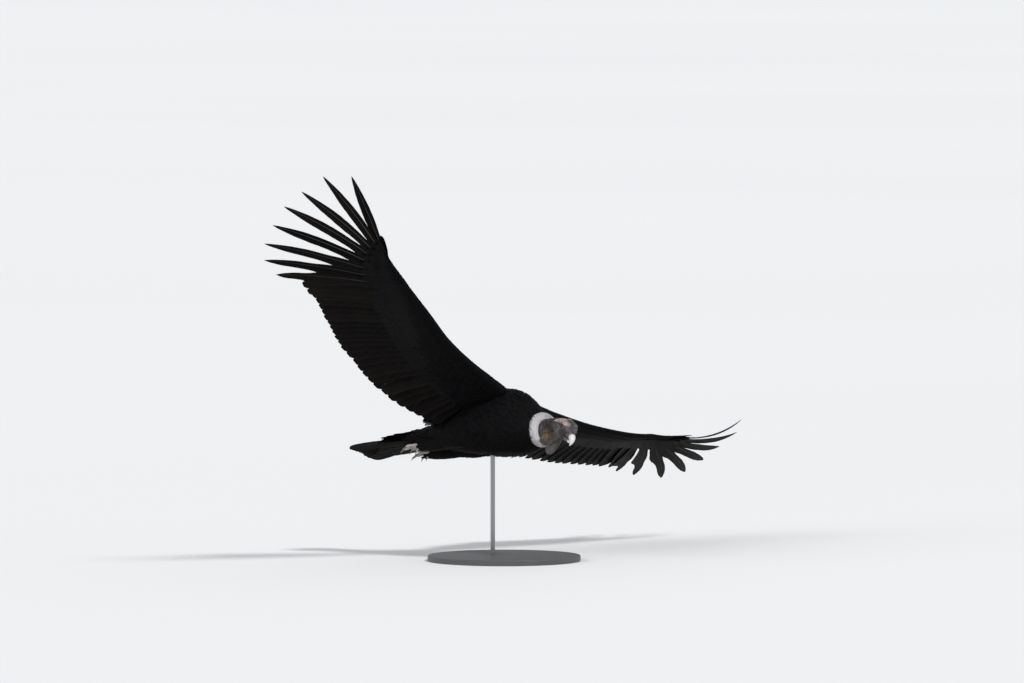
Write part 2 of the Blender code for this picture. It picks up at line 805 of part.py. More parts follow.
def wattle(finish):
    """The fold of loose skin that hangs from throat and neck."""
    along = unit((0.80, -0.30, -0.45))
    side = unit(np.cross((0, 0, 1), along))
    rings = []
    for centre, half_length, half_thickness in WATTLE:
        rings.append(oval(centre, along, side, half_length, half_thickness, half_thickness, 14))
    body = loft("wattle", rings, finish)
    clear = [clearance(skull_rings(GAP)), clearance(neck_rings(GAP))]
    return cut(body, clear)


def lock(start, tip, across, half_width, half_thickness):
    """A short lock of down: a four-sided tuft, fullest past its middle, that tapers to its tip."""
    along = unit(tip - start)
    across = unit(across - along * (across @ along))
    up = np.cross(along, across)
    rings = []
    for t, share in ((0.0, 0.8), (0.6, 1.0), (1.0, 0.15)):
        wide, high = half_width * share, half_thickness * share
        rings.append(oval(start + (tip - start) * t, across, up, wide, high, high, 4))
    return loft("lock", rings)


def ruff(finish):
    """A ring of down round the foot of the neck, with two rows of short curled locks."""
    section = (RUFF_THICKNESS, RUFF_DEPTH)
    body = ring_body("ruff", RUFF_CENTRE, RUFF_FACES, RUFF_RADIUS, section, (24, 8), finish)
    facing = unit(RUFF_FACES)
    first, second = ring_frame(facing)
    noise = np.random.default_rng(23)
    locks = []
    for row, (turn, reach, count) in enumerate(RUFF_ROWS):
        for i in range(count):
            angle = 2 * math.pi * (i + 0.5 * row) / count + 0.04 * noise.uniform(-1, 1)
            out = first * math.cos(angle) + second * math.sin(angle)
            round_ring = np.cross(facing, out)
            lean = turn + 0.12 * noise.uniform(-1, 1)
            way = out * math.cos(lean) + facing * math.sin(lean)
            ring = np.array(RUFF_CENTRE) + out * RUFF_RADIUS
            start = ring + out * 0.010 * math.cos(turn) + facing * 0.016 * math.sin(turn)
            length = 0.008 + reach * noise.uniform(0.85, 1.15)
            tip = start + way * length + facing * 0.006 + round_ring * 0.005 * noise.uniform(-1, 1)
            locks.append(lock(start, tip, round_ring, LOCK_HALF_WIDTH, LOCK_HALF_THICKNESS))
    body = join(body, locks)
    return cut(body, [clearance(torso_rings(GAP)), clearance(neck_rings(GAP))])


def tail(finish):
    """The rump's end with tail feathers in pairs, each pair lower than the one inside it."""
    rings = []
    for x, w, top, bottom in TAIL_ROOT:
        middle = (top + bottom) / 2
        rings.append(oval((x, 0, middle), (0, 1, 0), (0, 0, 1), w, top - middle, middle - bottom, 16))
    body = loft("tail", rings, finish)
    noise = np.random.default_rng(11)
    end_x, end_z = TAIL_END
    feathers = []
    root_x, root_y, root_z = TAIL_FEATHER_ROOT
    for k in range(TAIL_PAIRS):
        share = (k + 0.5) / (TAIL_PAIRS - 0.5)
        for side in (1, -1):
            level = root_z - TAIL_STEP * k - (TAIL_SIDE_STEP if side < 0 else 0.0)
            root = np.array((root_x, root_y * share, level))
            tip_x = end_x + TAIL_ROUNDING * share**2 + 0.007 * noise.uniform(-1, 1)
            tip_y = TAIL_TIP_SPREAD * share
            tip = np.array((tip_x, tip_y, end_z + level + TAIL_TWIST * tip_y * side))
            shape = (TAIL_WIDTHS, TAIL_STATIONS, TAIL_SAG, 0.0, None)
            feathers.append(vane(root, tip, TAIL_UP, shape, 0.0, side))
    for level, height, reach in TAIL_COVERTS:
        for k in range(TAIL_COVERTS_EACH):
            across = 2 * k / (TAIL_COVERTS_EACH - 1) - 1
            z = height - 0.0028 * (k % 2) * level
            start = np.array((-0.400, 0.036 * across, z))
            end = np.array((-0.440 - reach * (1 - 0.2 * abs(across)), 0.055 * across, z - 0.020))
            shape = (TAIL_COVERT_WIDTHS, COVERT_STATIONS, 0.0, 0.0, None)
            feathers.append(vane(start, end, TAIL_UP, shape))
    return join(body, feathers)


def thigh(name, side, finish):
    rings = []
    for x, y, z, w, h in THIGH:
        rings.append(oval((x, y * side, z), (0, 1, 0), (0, 0, 1), w, h, h, 16))
    return cut(loft(name, rings, finish), [clearance(torso_rings(GAP))])


def toe(start, end, thick, arch, side):
    """A toe with knuckles, arched a little upwards, and the claw at its end."""
    start, end = np.array(start, float), np.array(end, float)
    along = unit(end - start)
    across = unit(np.cross(along, (0, 0, 1)))
    up = np.cross(across, along)
    rings = []
    for t, share in KNUCKLES:
        centre = start + (end - start) * t + up * arch * 4 * t * (1 - t)
        rings.append(circle(centre, across, up, thick * share, 6))
    for t, fall, share in CLAW:
        centre = start + (end - start) * t - up * fall
        rings.append(circle(centre, across, up, thick * share, 6))
    return loft("toe", [mirrored(ring, side) for ring in rings])


def foot(name, side, finish):
    """The shank from ankle to palm, three front toes and the small hind toe."""
    middle = (np.array(ANKLE) + PALM) / 2
    shank = []
    for place, radius in zip((ANKLE, middle, PALM), SHANK_RADII):
        shank.append(mirrored(circle(place, (0, 1, 0), (0, 0, 1), radius, 12), side))
    toes = [toe(*row, side) for row in TOES]
    return cut(join(loft(name, shank, finish), toes), [clearance(torso_rings(GAP))])


def bird_to_world(point):
    """A point of the bird's frame over the stand."""
    x, y, z = point
    y, z = y * math.cos(BANK) - z * math.sin(BANK), y * math.sin(BANK) + z * math.cos(BANK)
    x, z = x * math.cos(CLIMB) - z * math.sin(CLIMB), x * math.sin(CLIMB) + z * math.cos(CLIMB)
    return np.array((y, -x, z + FLIGHT_HEIGHT))


def world_to_bird(point):
    """A point over the stand in the bird's frame."""
    x, y, z = point[0], point[1], point[2] - FLIGHT_HEIGHT
    x, y = -y, x
    x, z = x * math.cos(CLIMB) + z * math.sin(CLIMB), -x * math.sin(CLIMB) + z * math.cos(CLIMB)
    y, z = y * math.cos(BANK) + z * math.sin(BANK), -y * math.sin(BANK) + z * math.cos(BANK)
    return np.array((x, y, z))


def torso(finish, rod_top):
    """The trunk, with a socket in its belly for the top of the rod."""
    body = loft("torso", torso_rings(), finish)
    foot_point = np.array((*rod_top[:2], BASE_THICKNESS))
    ends = [world_to_bird(foot_point), world_to_bird(rod_top)]
    return cut(body, [cylinder("socket", *ends, ROD_RADIUS + GAP, 24)])


def stand_base(finish):
    """A round flat base with a small chamfer round its top."""
    edge = BASE_THICKNESS - BASE_CHAMFER
    levels = ((0, BASE_RADIUS), (edge, BASE_RADIUS), (BASE_THICKNESS, BASE_RADIUS - BASE_CHAMFER))
    rings = [circle((0, 0, z), (1, 0, 0), (0, 1, 0), radius, 60) for z, radius in levels]
    return loft("stand_base", rings, finish)


def shade(made):
    """Smooth shading, with edges sharper than SMOOTH_ANGLE kept crisp."""
    made.data.shade_smooth()
    made.data.set_sharp_from_angle(angle=SMOOTH_ANGLE)


def main():
    for old in list(bpy.data.objects):
        bpy.data.objects.remove(old)
    black = material("black_feathers", (0.012, 0.012, 0.014), 0.55)
    white = material("white_down", (0.75, 0.74, 0.74), 0.9)
    skin = material("grey_skin", (0.11, 0.09, 0.09), 0.6)
    comb_skin = material("comb_skin", (0.20, 0.15, 0.15), 0.6)
    horn = material("ivory_horn", (0.68, 0.63, 0.55), 0.35)
    iris = material("eye_brown", (0.05, 0.02, 0.01), 0.1)
    leg_skin = material("leg_skin", (0.22, 0.19, 0.18), 0.6)
    steel = material("stand_steel", (0.50, 0.50, 0.50), 0.3, 1.0)
    board = material("stand_board", (0.62, 0.61, 0.59), 0.6)

    pose = bpy.data.objects.new("pose", None)
    bpy.context.scene.collection.objects.link(pose)
    pose.location = (0, 0, FLIGHT_HEIGHT)
    pose.rotation_mode = "XYZ"
    pose.rotation_euler = (BANK, -CLIMB, -math.pi / 2)

    belly = bird_to_world((*ROD_PLACE, 0.0))
    rod_top = np.array((belly[0], belly[1], belly[2] - ROD_TOP_BELOW))
    bird = [
        torso(black, rod_top),
        wing("wing_left", 1, black),
        wing("wing_right", -1, black),
        cut(loft("neck", neck_rings(), skin), [clearance(torso_rings(GAP))]),
        head(skin),
        upper_bill(horn),
        lower_bill(horn),
        comb(comb_skin),
        wattle(skin),
        ruff(white),
        tail(black),
        thigh("thigh_left", 1, black),
        thigh("thigh_right", -1, black),
        foot("foot_left", 1, leg_skin),
        foot("foot_right", -1, leg_skin),
    ]
    for name, side in (("eye_left", 1), ("eye_right", -1)):
        bird.append(ball(name, from_head(np.array(EYE_PLACE) * (1, side, 1)), EYE_RADIUS, 7, iris))
    for made in bird:
        made.parent = pose
    stand_base(board)
    rod_foot = (rod_top[0], rod_top[1], BASE_THICKNESS + GAP)
    cylinder("stand_rod", rod_foot, rod_top - (0, 0, GAP), ROD_RADIUS, 24, steel)
    for made in bpy.context.scene.objects:
        if made.type == "MESH":
            shade(made)


main()
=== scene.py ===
# %% [markdown]
# # An Andean condor that banks in flight, as a life-size museum model
# The solids of the model come packed as a fixed frame, and this lesson dresses them: it gives the bird a
# skin, every feather of wings and tail, a coat of small body feathers, a ruff of white down and a finely
# shaped head. The shapes could be sculpted by hand, but here each one is worked out from a few tables of
# sizes, so that all of them can be changed by changing a number.

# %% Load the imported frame
import math

import bmesh
import bpy
import numpy as np
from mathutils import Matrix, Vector, noise


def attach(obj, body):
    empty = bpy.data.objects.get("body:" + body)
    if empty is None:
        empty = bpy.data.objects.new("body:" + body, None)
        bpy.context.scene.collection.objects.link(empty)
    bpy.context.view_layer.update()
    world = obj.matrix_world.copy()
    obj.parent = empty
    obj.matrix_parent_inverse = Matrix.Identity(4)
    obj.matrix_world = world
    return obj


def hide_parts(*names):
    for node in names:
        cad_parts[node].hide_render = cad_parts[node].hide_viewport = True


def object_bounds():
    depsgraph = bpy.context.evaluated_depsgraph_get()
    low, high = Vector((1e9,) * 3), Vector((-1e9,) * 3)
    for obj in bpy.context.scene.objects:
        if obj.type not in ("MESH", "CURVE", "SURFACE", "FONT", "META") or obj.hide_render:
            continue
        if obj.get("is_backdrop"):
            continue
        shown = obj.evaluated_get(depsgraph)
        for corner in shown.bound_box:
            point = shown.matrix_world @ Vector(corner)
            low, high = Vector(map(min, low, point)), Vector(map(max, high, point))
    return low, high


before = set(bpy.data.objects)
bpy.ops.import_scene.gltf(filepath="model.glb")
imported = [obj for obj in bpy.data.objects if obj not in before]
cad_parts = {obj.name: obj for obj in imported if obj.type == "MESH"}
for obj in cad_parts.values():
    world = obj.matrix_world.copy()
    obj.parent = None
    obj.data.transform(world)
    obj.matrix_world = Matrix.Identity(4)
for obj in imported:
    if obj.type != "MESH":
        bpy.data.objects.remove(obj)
cad_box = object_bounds()
print("nodes:", ", ".join(sorted(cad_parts)))

# %% [markdown]
# ## The bird's own frame
# The bird is worked out level, with X forward, Y to its left and Z up from the middle of its chest. Turning
# it into the bank of the photograph is one small function, which is easier to follow than placing every
# feather aslant.

# %% From the bird's frame to the room
FLIGHT_HEIGHT = 0.50
CLIMB = math.radians(5.2)
BANK = math.radians(-21.8)


def to_room(points):
    """Points of the bird's frame, banked, climbing and set over the stand."""
    x, y, z = np.asarray(points, float).reshape(-1, 3).T
    y, z = y * math.cos(BANK) - z * math.sin(BANK), y * math.sin(BANK) + z * math.cos(BANK)
    x, z = x * math.cos(CLIMB) - z * math.sin(CLIMB), x * math.sin(CLIMB) + z * math.cos(CLIMB)
    return np.stack([y, -x, z + FLIGHT_HEIGHT], 1)


print("the beak's middle lies at", np.round(to_room((0.40, -0.08, -0.08))[0], 3))

# %% [markdown]
# ## The camera
# The photograph was taken from far away, almost level with the bird and from its right front. A long lens
# 40 m away keeps the same flat perspective. The camera stands above the floor and looks slightly down on
# it.

# %% Set the camera
AZIMUTH = math.radians(-56.8)
ELEVATION = math.radians(3.0)
DISTANCE = 40.0
PIXELS_PER_METRE = 255.46
FRAME_WIDTH, FRAME_HEIGHT = 1024, 683
CHEST_AT = (504.14, 433.25)
SENSOR = 36.0


def way_to(azimuth, height):
    """The way from the bird to something at an azimuth and a height over the horizon."""
    level = math.cos(height)
    return Vector((math.sin(azimuth) * level, -math.cos(azimuth) * level, math.sin(height)))


right = Vector((math.cos(AZIMUTH), math.sin(AZIMUTH), 0))
back = way_to(AZIMUTH, ELEVATION)
above = back.cross(right)
camera_data = bpy.data.cameras.new("camera")
camera_data.sensor_width = SENSOR
camera_data.lens = PIXELS_PER_METRE * DISTANCE * SENSOR / FRAME_WIDTH
camera_data.clip_end = 25 * DISTANCE
camera = bpy.data.objects.new("camera", camera_data)
bpy.context.scene.collection.objects.link(camera)
bpy.context.scene.camera = camera
aside = (FRAME_WIDTH / 2 - CHEST_AT[0]) / PIXELS_PER_METRE
rise = (CHEST_AT[1] - FRAME_HEIGHT / 2) / PIXELS_PER_METRE
camera.location = Vector((0, 0, FLIGHT_HEIGHT)) + back * DISTANCE + right * aside + above * rise
camera.rotation_euler = (-back).to_track_quat("-Z", "Y").to_euler()
print("lens", round(camera_data.lens, 1), "mm, camera height", round(camera.location.z, 2), "m")

# %% [markdown]
# ## Reading tables, and making pieces
# Every form below is a table of a few sizes that is read smoothly in between. One helper turns points and
# faces into an object that rides on the frame; others loft a closed body through rings of points and melt
# several bodies into one skin. Sculpting would give freer shapes, but lofts keep each size where the solids
# have it.

# %% Helpers for tables and directions
def read(table, at):
    """Reads a table of rows smoothly at one or many values of its first column."""
    rows = np.asarray(table, float)
    keys, values = rows[:, 0], rows[:, 1:]
    slopes = np.gradient(values, keys, axis=0)
    at = np.asarray(at, float)
    i = np.clip(np.searchsorted(keys, at, side="right") - 1, 0, len(keys) - 2)
    span = (keys[i + 1] - keys[i])[..., None]
    u = np.clip((at - keys[i])[..., None] / span, 0, 1)
    return (
        (2 * u**3 - 3 * u**2 + 1) * values[i]
        + (u**3 - 2 * u**2 + u) * span * slopes[i]
        + (3 * u**2 - 2 * u**3) * values[i + 1]
        + (u**3 - u**2) * span * slopes[i + 1]
    )


def unit(vectors):
    vectors = np.asarray(vectors, float)
    return vectors / np.maximum(np.linalg.norm(vectors, axis=-1, keepdims=True), 1e-12)


def dot(a, b):
    return (np.asarray(a) * np.asarray(b)).sum(-1, keepdims=True)


def turned(vectors, axis, angle):
    """Vectors turned about unit axes."""
    c, s = np.cos(angle), np.sin(angle)
    return vectors * c + np.cross(axis, vectors) * s + axis * dot(axis, vectors) * (1 - c)


def smooth_step(low, high, at):
    u = np.clip((np.asarray(at, float) - low) / (high - low), 0, 1)
    return u * u * (3 - 2 * u)

# %% Helpers for closed bodies
def new_object(name, points, faces):
    """A mesh object of points and faces, in the bird's frame."""
    mesh = bpy.data.meshes.new(name)
    mesh.from_pydata(np.asarray(points, float).reshape(-1, 3).tolist(), [], faces)
    made = bpy.data.objects.new(name, mesh)
    bpy.context.scene.collection.objects.link(made)
    return made


def closed_object(name, points, faces):
    """A mesh object with its faces turned outwards."""
    made = new_object(name, points, faces)
    shape = bmesh.new()
    shape.from_mesh(made.data)
    bmesh.ops.recalc_face_normals(shape, faces=shape.faces)
    if shape.calc_volume(signed=True) < 0:
        bmesh.ops.reverse_faces(shape, faces=shape.faces)
    shape.to_mesh(made.data)
    shape.free()
    return made


def loft(name, rings):
    """A closed body through rings of equally many points."""
    count = len(rings[0])
    faces = []
    for k in range(len(rings) - 1):
        for j in range(count):
            a, b = k * count + j, k * count + (j + 1) % count
            faces.append((a, b, b + count, a + count))
    faces.append(tuple(range(count)))
    last = len(rings) * count
    faces.append(tuple(range(last - 1, last - 1 - count, -1)))
    return closed_object(name, np.array(rings), faces)


def oval(centre, across, up, half_width, above, below, count=32):
    """A ring of points with its own heights above and below its centre."""
    angle = 2 * math.pi * np.arange(count)[:, None] / count
    height = np.where(np.sin(angle) > 0, above, below)
    sideways = np.asarray(across) * half_width * np.cos(angle)
    return np.asarray(centre) + sideways + np.asarray(up) * height * np.sin(angle)


def ball(name, centre, sizes, axes=None, rows=12):
    """An ellipsoid with half sizes along three axes."""
    axes = np.eye(3) if axes is None else np.asarray(axes)
    rings = []
    for k in range(rows + 1):
        angle = math.pi * (k + 0.2) / (rows + 0.4)
        middle = np.asarray(centre) + axes[0] * sizes[0] * math.cos(angle)
        s = math.sin(angle)
        rings.append(oval(middle, axes[1], axes[2], sizes[1] * s, sizes[2] * s, sizes[2] * s, 2 * rows))
    return loft(name, rings)


def tube(name, path, radii, count=12, flat=1.0, side=(0, 1, 0)):
    """A closed tube along a path of points, thinner across its own up direction when flat is small."""
    path, rings = np.asarray(path, float), []
    ways = unit(np.gradient(path, axis=0))
    for centre, way, radius in zip(path, ways, radii):
        across = unit(np.asarray(side) - way * dot(side, way))
        rings.append(oval(centre, across, np.cross(way, across), radius, radius * flat, radius * flat, count))
    return loft(name, rings)

# %% Helpers for meshes
def points_of(made):
    co = np.zeros(len(made.data.vertices) * 3)
    made.data.vertices.foreach_get("co", co)
    return co.reshape(-1, 3)


def move_points(made, points):
    made.data.vertices.foreach_set("co", np.asarray(points, float).ravel())
    made.data.update()


def keep_values(made, key, values):
    """Keeps three values at each point of a piece, for its finish to read."""
    layer = made.data.attributes.new(key, "FLOAT_VECTOR", "POINT")
    layer.data.foreach_set("vector", np.asarray(values, float).ravel())


def unwrap(made, places):
    """Writes the second UV map, with a place for each corner of each face."""
    layer = made.data.uv_layers.new(name="OFBake")
    layer.data.foreach_set("uv", np.asarray(places, float).ravel())


def apply_modifiers(made):
    graph = bpy.context.evaluated_depsgraph_get()
    graph.update()
    mesh = bpy.data.meshes.new_from_object(made.evaluated_get(graph))
    made.modifiers.clear()
    made.data = mesh


def joined(name, parts):
    """One object out of several, with nothing else done to them."""
    points, faces, start = [], [], 0
    for part in parts:
        points.append(points_of(part))
        faces += [tuple(v + start for v in face.vertices) for face in part.data.polygons]
        start += len(part.data.vertices)
        bpy.data.objects.remove(part)
    return new_object(name, np.concatenate(points), faces)


def melted(name, parts, voxel, rounds):
    """Several overlapping bodies melted into one even skin, and smoothed."""
    made = joined(name, parts)
    remesh = made.modifiers.new("melt", "REMESH")
    remesh.mode = "VOXEL"
    remesh.voxel_size = voxel
    remesh.adaptivity = 0
    soften = made.modifiers.new("soften", "SMOOTH")
    soften.factor = 0.5
    soften.iterations = rounds
    apply_modifiers(made)
    return made


def carved(made, tools):
    """The body with closed tools cut out of it."""
    group = bpy.data.collections.new("tools")
    bpy.context.scene.collection.children.link(group)
    for tool in tools:
        bpy.context.scene.collection.objects.unlink(tool)
        group.objects.link(tool)
    step = made.modifiers.new("carve", "BOOLEAN")
    step.operation, step.operand_type = "DIFFERENCE", "COLLECTION"
    step.collection, step.solver = group, "MANIFOLD"
    apply_modifiers(made)
    for tool in tools:
        bpy.data.objects.remove(tool)
    bpy.data.collections.remove(group)


def finished(made, finish, replaces=(), crisp=None):
    """Sets a piece over the stand, gives it its finish and lets it ride on the frame."""
    move_points(made, to_room(points_of(made)))
    made.data.shade_smooth()
    if crisp:
        made.data.set_sharp_from_angle(angle=math.radians(crisp))
    made.data.materials.clear()
    made.data.materials.append(finish)
    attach(made, "root")
    if replaces:
        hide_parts(*replaces)
    made.data.calc_loop_triangles()
    print(made.name, len(made.data.loop_triangles), "triangles")

# %% [markdown]
# ## Shader maths
# A finish is a net of shader nodes. Written as Python expressions it stays readable: one small class wraps
# a socket, so that a sum, a product or one minus a mask adds the right node. Every other kind of node comes
# from one method.

# %% A class for sockets and one for finishes
class Wire:
    """A socket of a finish that can be used in an expression."""

    def __init__(self, finish, socket):
        self.finish, self.socket = finish, socket

    def math(self, operation, *values):
        return self.finish.node("Math", {"operation": operation}, *values)

    def __add__(self, other):
        return self.math("ADD", self, other)

    def __sub__(self, other):
        return self.math("SUBTRACT", self, other)

    def __rsub__(self, other):
        return self.math("SUBTRACT", other, self)

    def __mul__(self, other):
        return self.math("MULTIPLY", self, other)

    __radd__, __rmul__ = __add__, __mul__

    def power(self, exponent):
        return self.math("POWER", self, exponent)

    def clamped(self):
        return self.finish.node("Clamp", {}, self)

    def size(self):
        return self.math("ABSOLUTE", self)

    def wave(self):
        return self.math("SINE", self) * 0.5 + 0.5


class Finish:
    """A material whose nodes are added one by one."""

    def __init__(self, name):
        self.material = bpy.data.materials.new(name)
        self.material.use_nodes = True
        self.tree = self.material.node_tree
        self.shader = self.tree.nodes["Principled BSDF"]

    def set(self, socket, value):
        if isinstance(value, Wire):
            self.tree.links.new(value.socket, socket)
        elif isinstance(value, tuple) and len(value) == 3 and socket.type == "RGBA":
            socket.default_value = (*value, 1)
        else:
            socket.default_value = value

    def node(self, kind, settings, *values, out=0, **named):
        """A node of a kind, with its settings, and the values or wires of its sockets in order or by name."""
        made = self.tree.nodes.new("ShaderNode" + kind)
        for key, value in settings.items():
            setattr(made, key, value)
        for i, value in enumerate(values):
            self.set(made.inputs[i], value)
        for key, value in named.items():
            self.set(made.inputs[key.replace("_", " ").title()], value)
        return Wire(self, made.outputs[out])

    def place(self):
        """Where a point is, in metres, which stays put when the camera moves."""
        return self.node("TexCoord", {}, out="Object")

    def spots(self, scale, detail):
        """Soft spots, by how many there are in a metre and how many finer ones lie in them."""
        return self.node("TexNoise", {}, self.place(), scale=scale, detail=detail)

    def streaks(self, x, y, z):
        """Spots drawn out along the axis whose value changes least."""
        return self.node("TexNoise", {}, self.node("CombineXYZ", {}, x, y, z), scale=1.0, detail=3.0)

    def mix(self, share, first, second):
        """A colour between two colours."""
        mixed = self.node("Mix", {"data_type": "RGBA"}, share, out=2)
        sockets = mixed.socket.node.inputs
        self.set(sockets[6], first)
        self.set(sockets[7], second)
        return mixed

    def kept(self, name):
        """The three values kept at each point of the mesh under a name."""
        vector = self.node("Attribute", {"attribute_name": name}, out="Vector")
        split = self.node("SeparateXYZ", {}, vector)
        return [Wire(self, socket) for socket in split.socket.node.outputs]

    def bump(self, height, distance):
        return self.node("Bump", {}, height=height, distance=distance, strength=1.0)

    def surface(self, **sockets):
        for key, value in sockets.items():
            self.set(self.shader.inputs[key.replace("_", " ").title().replace("Ior", "IOR")], value)


print("shader helpers ready")

# %% [markdown]
# ## The sizes of the body
# These are the sizes of the solids, read again so that skin and feathers lie exactly where the solids are:
# rings of torso, neck and thighs, the two edges of the wings, the depth of the arms and the tips of the
# finger feathers.

# %% Tables of body and wings
TORSO = [
    (-0.345, 0.052, 0.044, 0.024),
    (-0.310, 0.070, 0.066, 0.038),
    (-0.250, 0.096, 0.098, 0.054),
    (-0.180, 0.122, 0.128, 0.066),
    (-0.100, 0.140, 0.160, 0.076),
    (-0.020, 0.142, 0.180, 0.084),
    (0.060, 0.128, 0.172, 0.088),
    (0.120, 0.102, 0.134, 0.082),
    (0.165, 0.074, 0.084, 0.066),
    (0.188, 0.050, 0.052, 0.050),
]
NECK = [
    (0, 0.1885, -0.008, 0.000, 1.00, -0.10, -0.02, 0.046, 0.044, 0.046),
    (1, 0.2150, -0.012, 0.002, 1.00, -0.14, -0.05, 0.042, 0.040, 0.044),
    (2, 0.2400, -0.017, 0.005, 0.96, -0.20, -0.16, 0.037, 0.036, 0.040),
    (3, 0.2620, -0.022, 0.007, 0.87, -0.28, -0.36, 0.033, 0.033, 0.037),
    (4, 0.2808, -0.0267, 0.0063, 0.71, -0.451, -0.542, 0.030, 0.030, 0.034),
]
THIGH = [
    (-0.080, 0.056, -0.026, 0.020, 0.022),
    (-0.120, 0.060, -0.030, 0.036, 0.036),
    (-0.180, 0.060, -0.034, 0.040, 0.036),
    (-0.240, 0.054, -0.038, 0.032, 0.028),
    (-0.310, 0.046, -0.041, 0.016, 0.016),
]
TAIL_ROOT = [
    (-0.330, 0.052, 0.046, -0.026),
    (-0.380, 0.056, 0.034, -0.020),
    (-0.420, 0.058, 0.022, -0.020),
    (-0.455, 0.050, 0.010, -0.018),
]
LEADING_EDGE = [
    (0.060, 0.045, 0.150),
    (0.150, 0.040, 0.163),
    (0.300, 0.034, 0.180),
    (0.500, 0.042, 0.208),
    (0.700, 0.070, 0.248),
    (0.820, 0.078, 0.280),
    (0.920, 0.082, 0.312),
    (1.020, 0.088, 0.342),
    (1.070, 0.090, 0.362),
]
TRAILING_EDGE = [
    (0.170, -0.235, 0.008),
    (0.250, -0.270, 0.020),
    (0.350, -0.318, 0.047),
    (0.450, -0.345, 0.081),
    (0.550, -0.352, 0.113),
    (0.650, -0.362, 0.153),
    (0.750, -0.340, 0.173),
    (0.850, -0.310, 0.192),
    (0.950, -0.283, 0.216),
    (1.050, -0.261, 0.240),
    (1.150, -0.241, 0.258),
]
ARM = [
    (0.060, 0.190, 0.070),
    (0.150, 0.190, 0.066),
    (0.300, 0.180, 0.052),
    (0.500, 0.165, 0.042),
    (0.700, 0.140, 0.036),
    (0.820, 0.115, 0.032),
    (0.920, 0.080, 0.026),
    (1.020, 0.055, 0.019),
    (1.070, 0.030, 0.010),
]
ARM_TOP = [(0.0, 0.0), (0.06, 0.36), (0.25, 0.54), (0.55, 0.46), (1.0, 0.13)]
ARM_UNDER = [(0.0, 0.0), (0.06, -0.30), (0.25, -0.46), (0.55, -0.40), (1.0, -0.13)]
ARM_START, HAND_END, HAND, WRIST = 0.060, 1.070, 1.020, 0.820
FINGER_TIPS = [
    (0.139, 1.427, 0.540),
    (0.068, 1.516, 0.516),
    (-0.013, 1.531, 0.459),
    (-0.082, 1.538, 0.404),
    (-0.143, 1.513, 0.344),
    (-0.214, 1.456, 0.299),
    (-0.279, 1.353, 0.276),
    (-0.290, 1.247, 0.256),
]
HAND_TWIST = {1: math.radians(3.5), -1: math.radians(-3.5)}
NOTCHES = [0.68, 0.53, 0.40, 0.30, 0.23, 0.14, 0.08, 0.06]
PRIMARY_SAG = {
    1: [-0.009, -0.007, -0.002, 0.004, 0.010, 0.016, 0.021, 0.025, 0.028, 0.030],
    -1: [-0.009, -0.008, -0.006, -0.004, -0.002, 0.000, 0.002, 0.004, 0.006, 0.008],
}
PRIMARY_BOW = [0.006, 0.008, 0.010, 0.012, 0.014, 0.016, 0.017, 0.016, 0.012, 0.006]
SECONDARIES, PRIMARIES, PLAIN_PRIMARIES = 24, 10, 2
LEFT_DROOP = 0.013
COAT_DEPTH = 0.008


def edge_point(table, y, side):
    """A point of the leading or the trailing edge; the left wing hangs a little lower."""
    y = min(max(y, table[0][0]), table[-1][0])
    x, z = read(table, y)
    droop = LEFT_DROOP * smooth_step(0.35, 0.80, y) if side > 0 else 0.0
    return np.array((x, y, z - droop))


def chord_frame(y, side):
    """The leading edge, the way to the trailing edge, and the wing's upward normal."""
    front, rear = edge_point(LEADING_EDGE, y, side), edge_point(TRAILING_EDGE, y, side)
    rear[1] = y
    back = unit(rear - front)
    return front, back, unit(np.cross(back, (0, -1, 0)))


def arm_point(y, share, level, side, inset=0.0):
    """A point of the arm's top (level 1) or underside (level -1), at a share of its depth."""
    front, back, up = chord_frame(y, side)
    depth, thick = read(ARM, y)
    rise = np.interp(share, *zip(*(ARM_TOP if level > 0 else ARM_UNDER)))
    return front + back * (inset + (depth - 2 * inset) * share) + up * rise * (thick - 1.5 * inset)


def mirrored(points, side):
    return np.asarray(points, float) * (1, side, 1)


print("the wings measure", round(2 * FINGER_TIPS[3][1], 2), "m across, held level")

# %% [markdown]
# ## Skin under the feathers
# Under its coat the trunk, both arms, the thighs and the tail's root are one smooth skin. Each part is
# lofted a coat's depth inside its solid, and the lofts are melted together, so that no seam shows where a
# wing leaves the body.

# %% Trunk, arms, thighs and the tail's root
LEFT, UP = (0, 1, 0), (0, 0, 1)
parts = []
rings = []
for x in np.linspace(-0.342, 0.186, 24):
    w, top, low = read(TORSO, x) - COAT_DEPTH
    rings.append(oval((x, 0, 0), LEFT, UP, w, top, low, 40))
parts.append(loft("trunk", rings))
rings = []
for x, w, top, low in TAIL_ROOT:
    middle = (top + low) / 2
    rings.append(oval((x, 0, middle), LEFT, UP, w - 0.006, top - middle - 0.004, middle - low - 0.004, 24))
parts.append(loft("tail_root", rings))
for side in (1, -1):
    rings = []
    for y in np.linspace(ARM_START, HAND_END - 0.006, 36):
        inset = 0.003 + 0.003 * smooth_step(0.9, 0.4, y)
        shares = np.linspace(0, 1, 9)
        ring = [arm_point(y, s, 1, side, inset) for s in shares]
        ring += [arm_point(y, s, -1, side, inset) for s in shares[:0:-1]]
        rings.append(mirrored(ring, side))
    parts.append(loft("arm", rings))
    rings = [oval((x, y * side, z), LEFT, UP, w - 0.005, h - 0.005, h - 0.005, 24) for x, y, z, w, h in THIGH]
    parts.append(loft("thigh", rings))
body_skin = melted("trunk_skin", parts, 0.0050, 8)
print("trunk skin:", len(body_skin.data.polygons), "faces")

# %% [markdown]
# ## The head's frame
# The head is turned down and to the bird's right. It is worked out in a frame of its own, X along the bill,
# Y to the left and Z up, from a point between the eyes, and set onto the neck at the end.

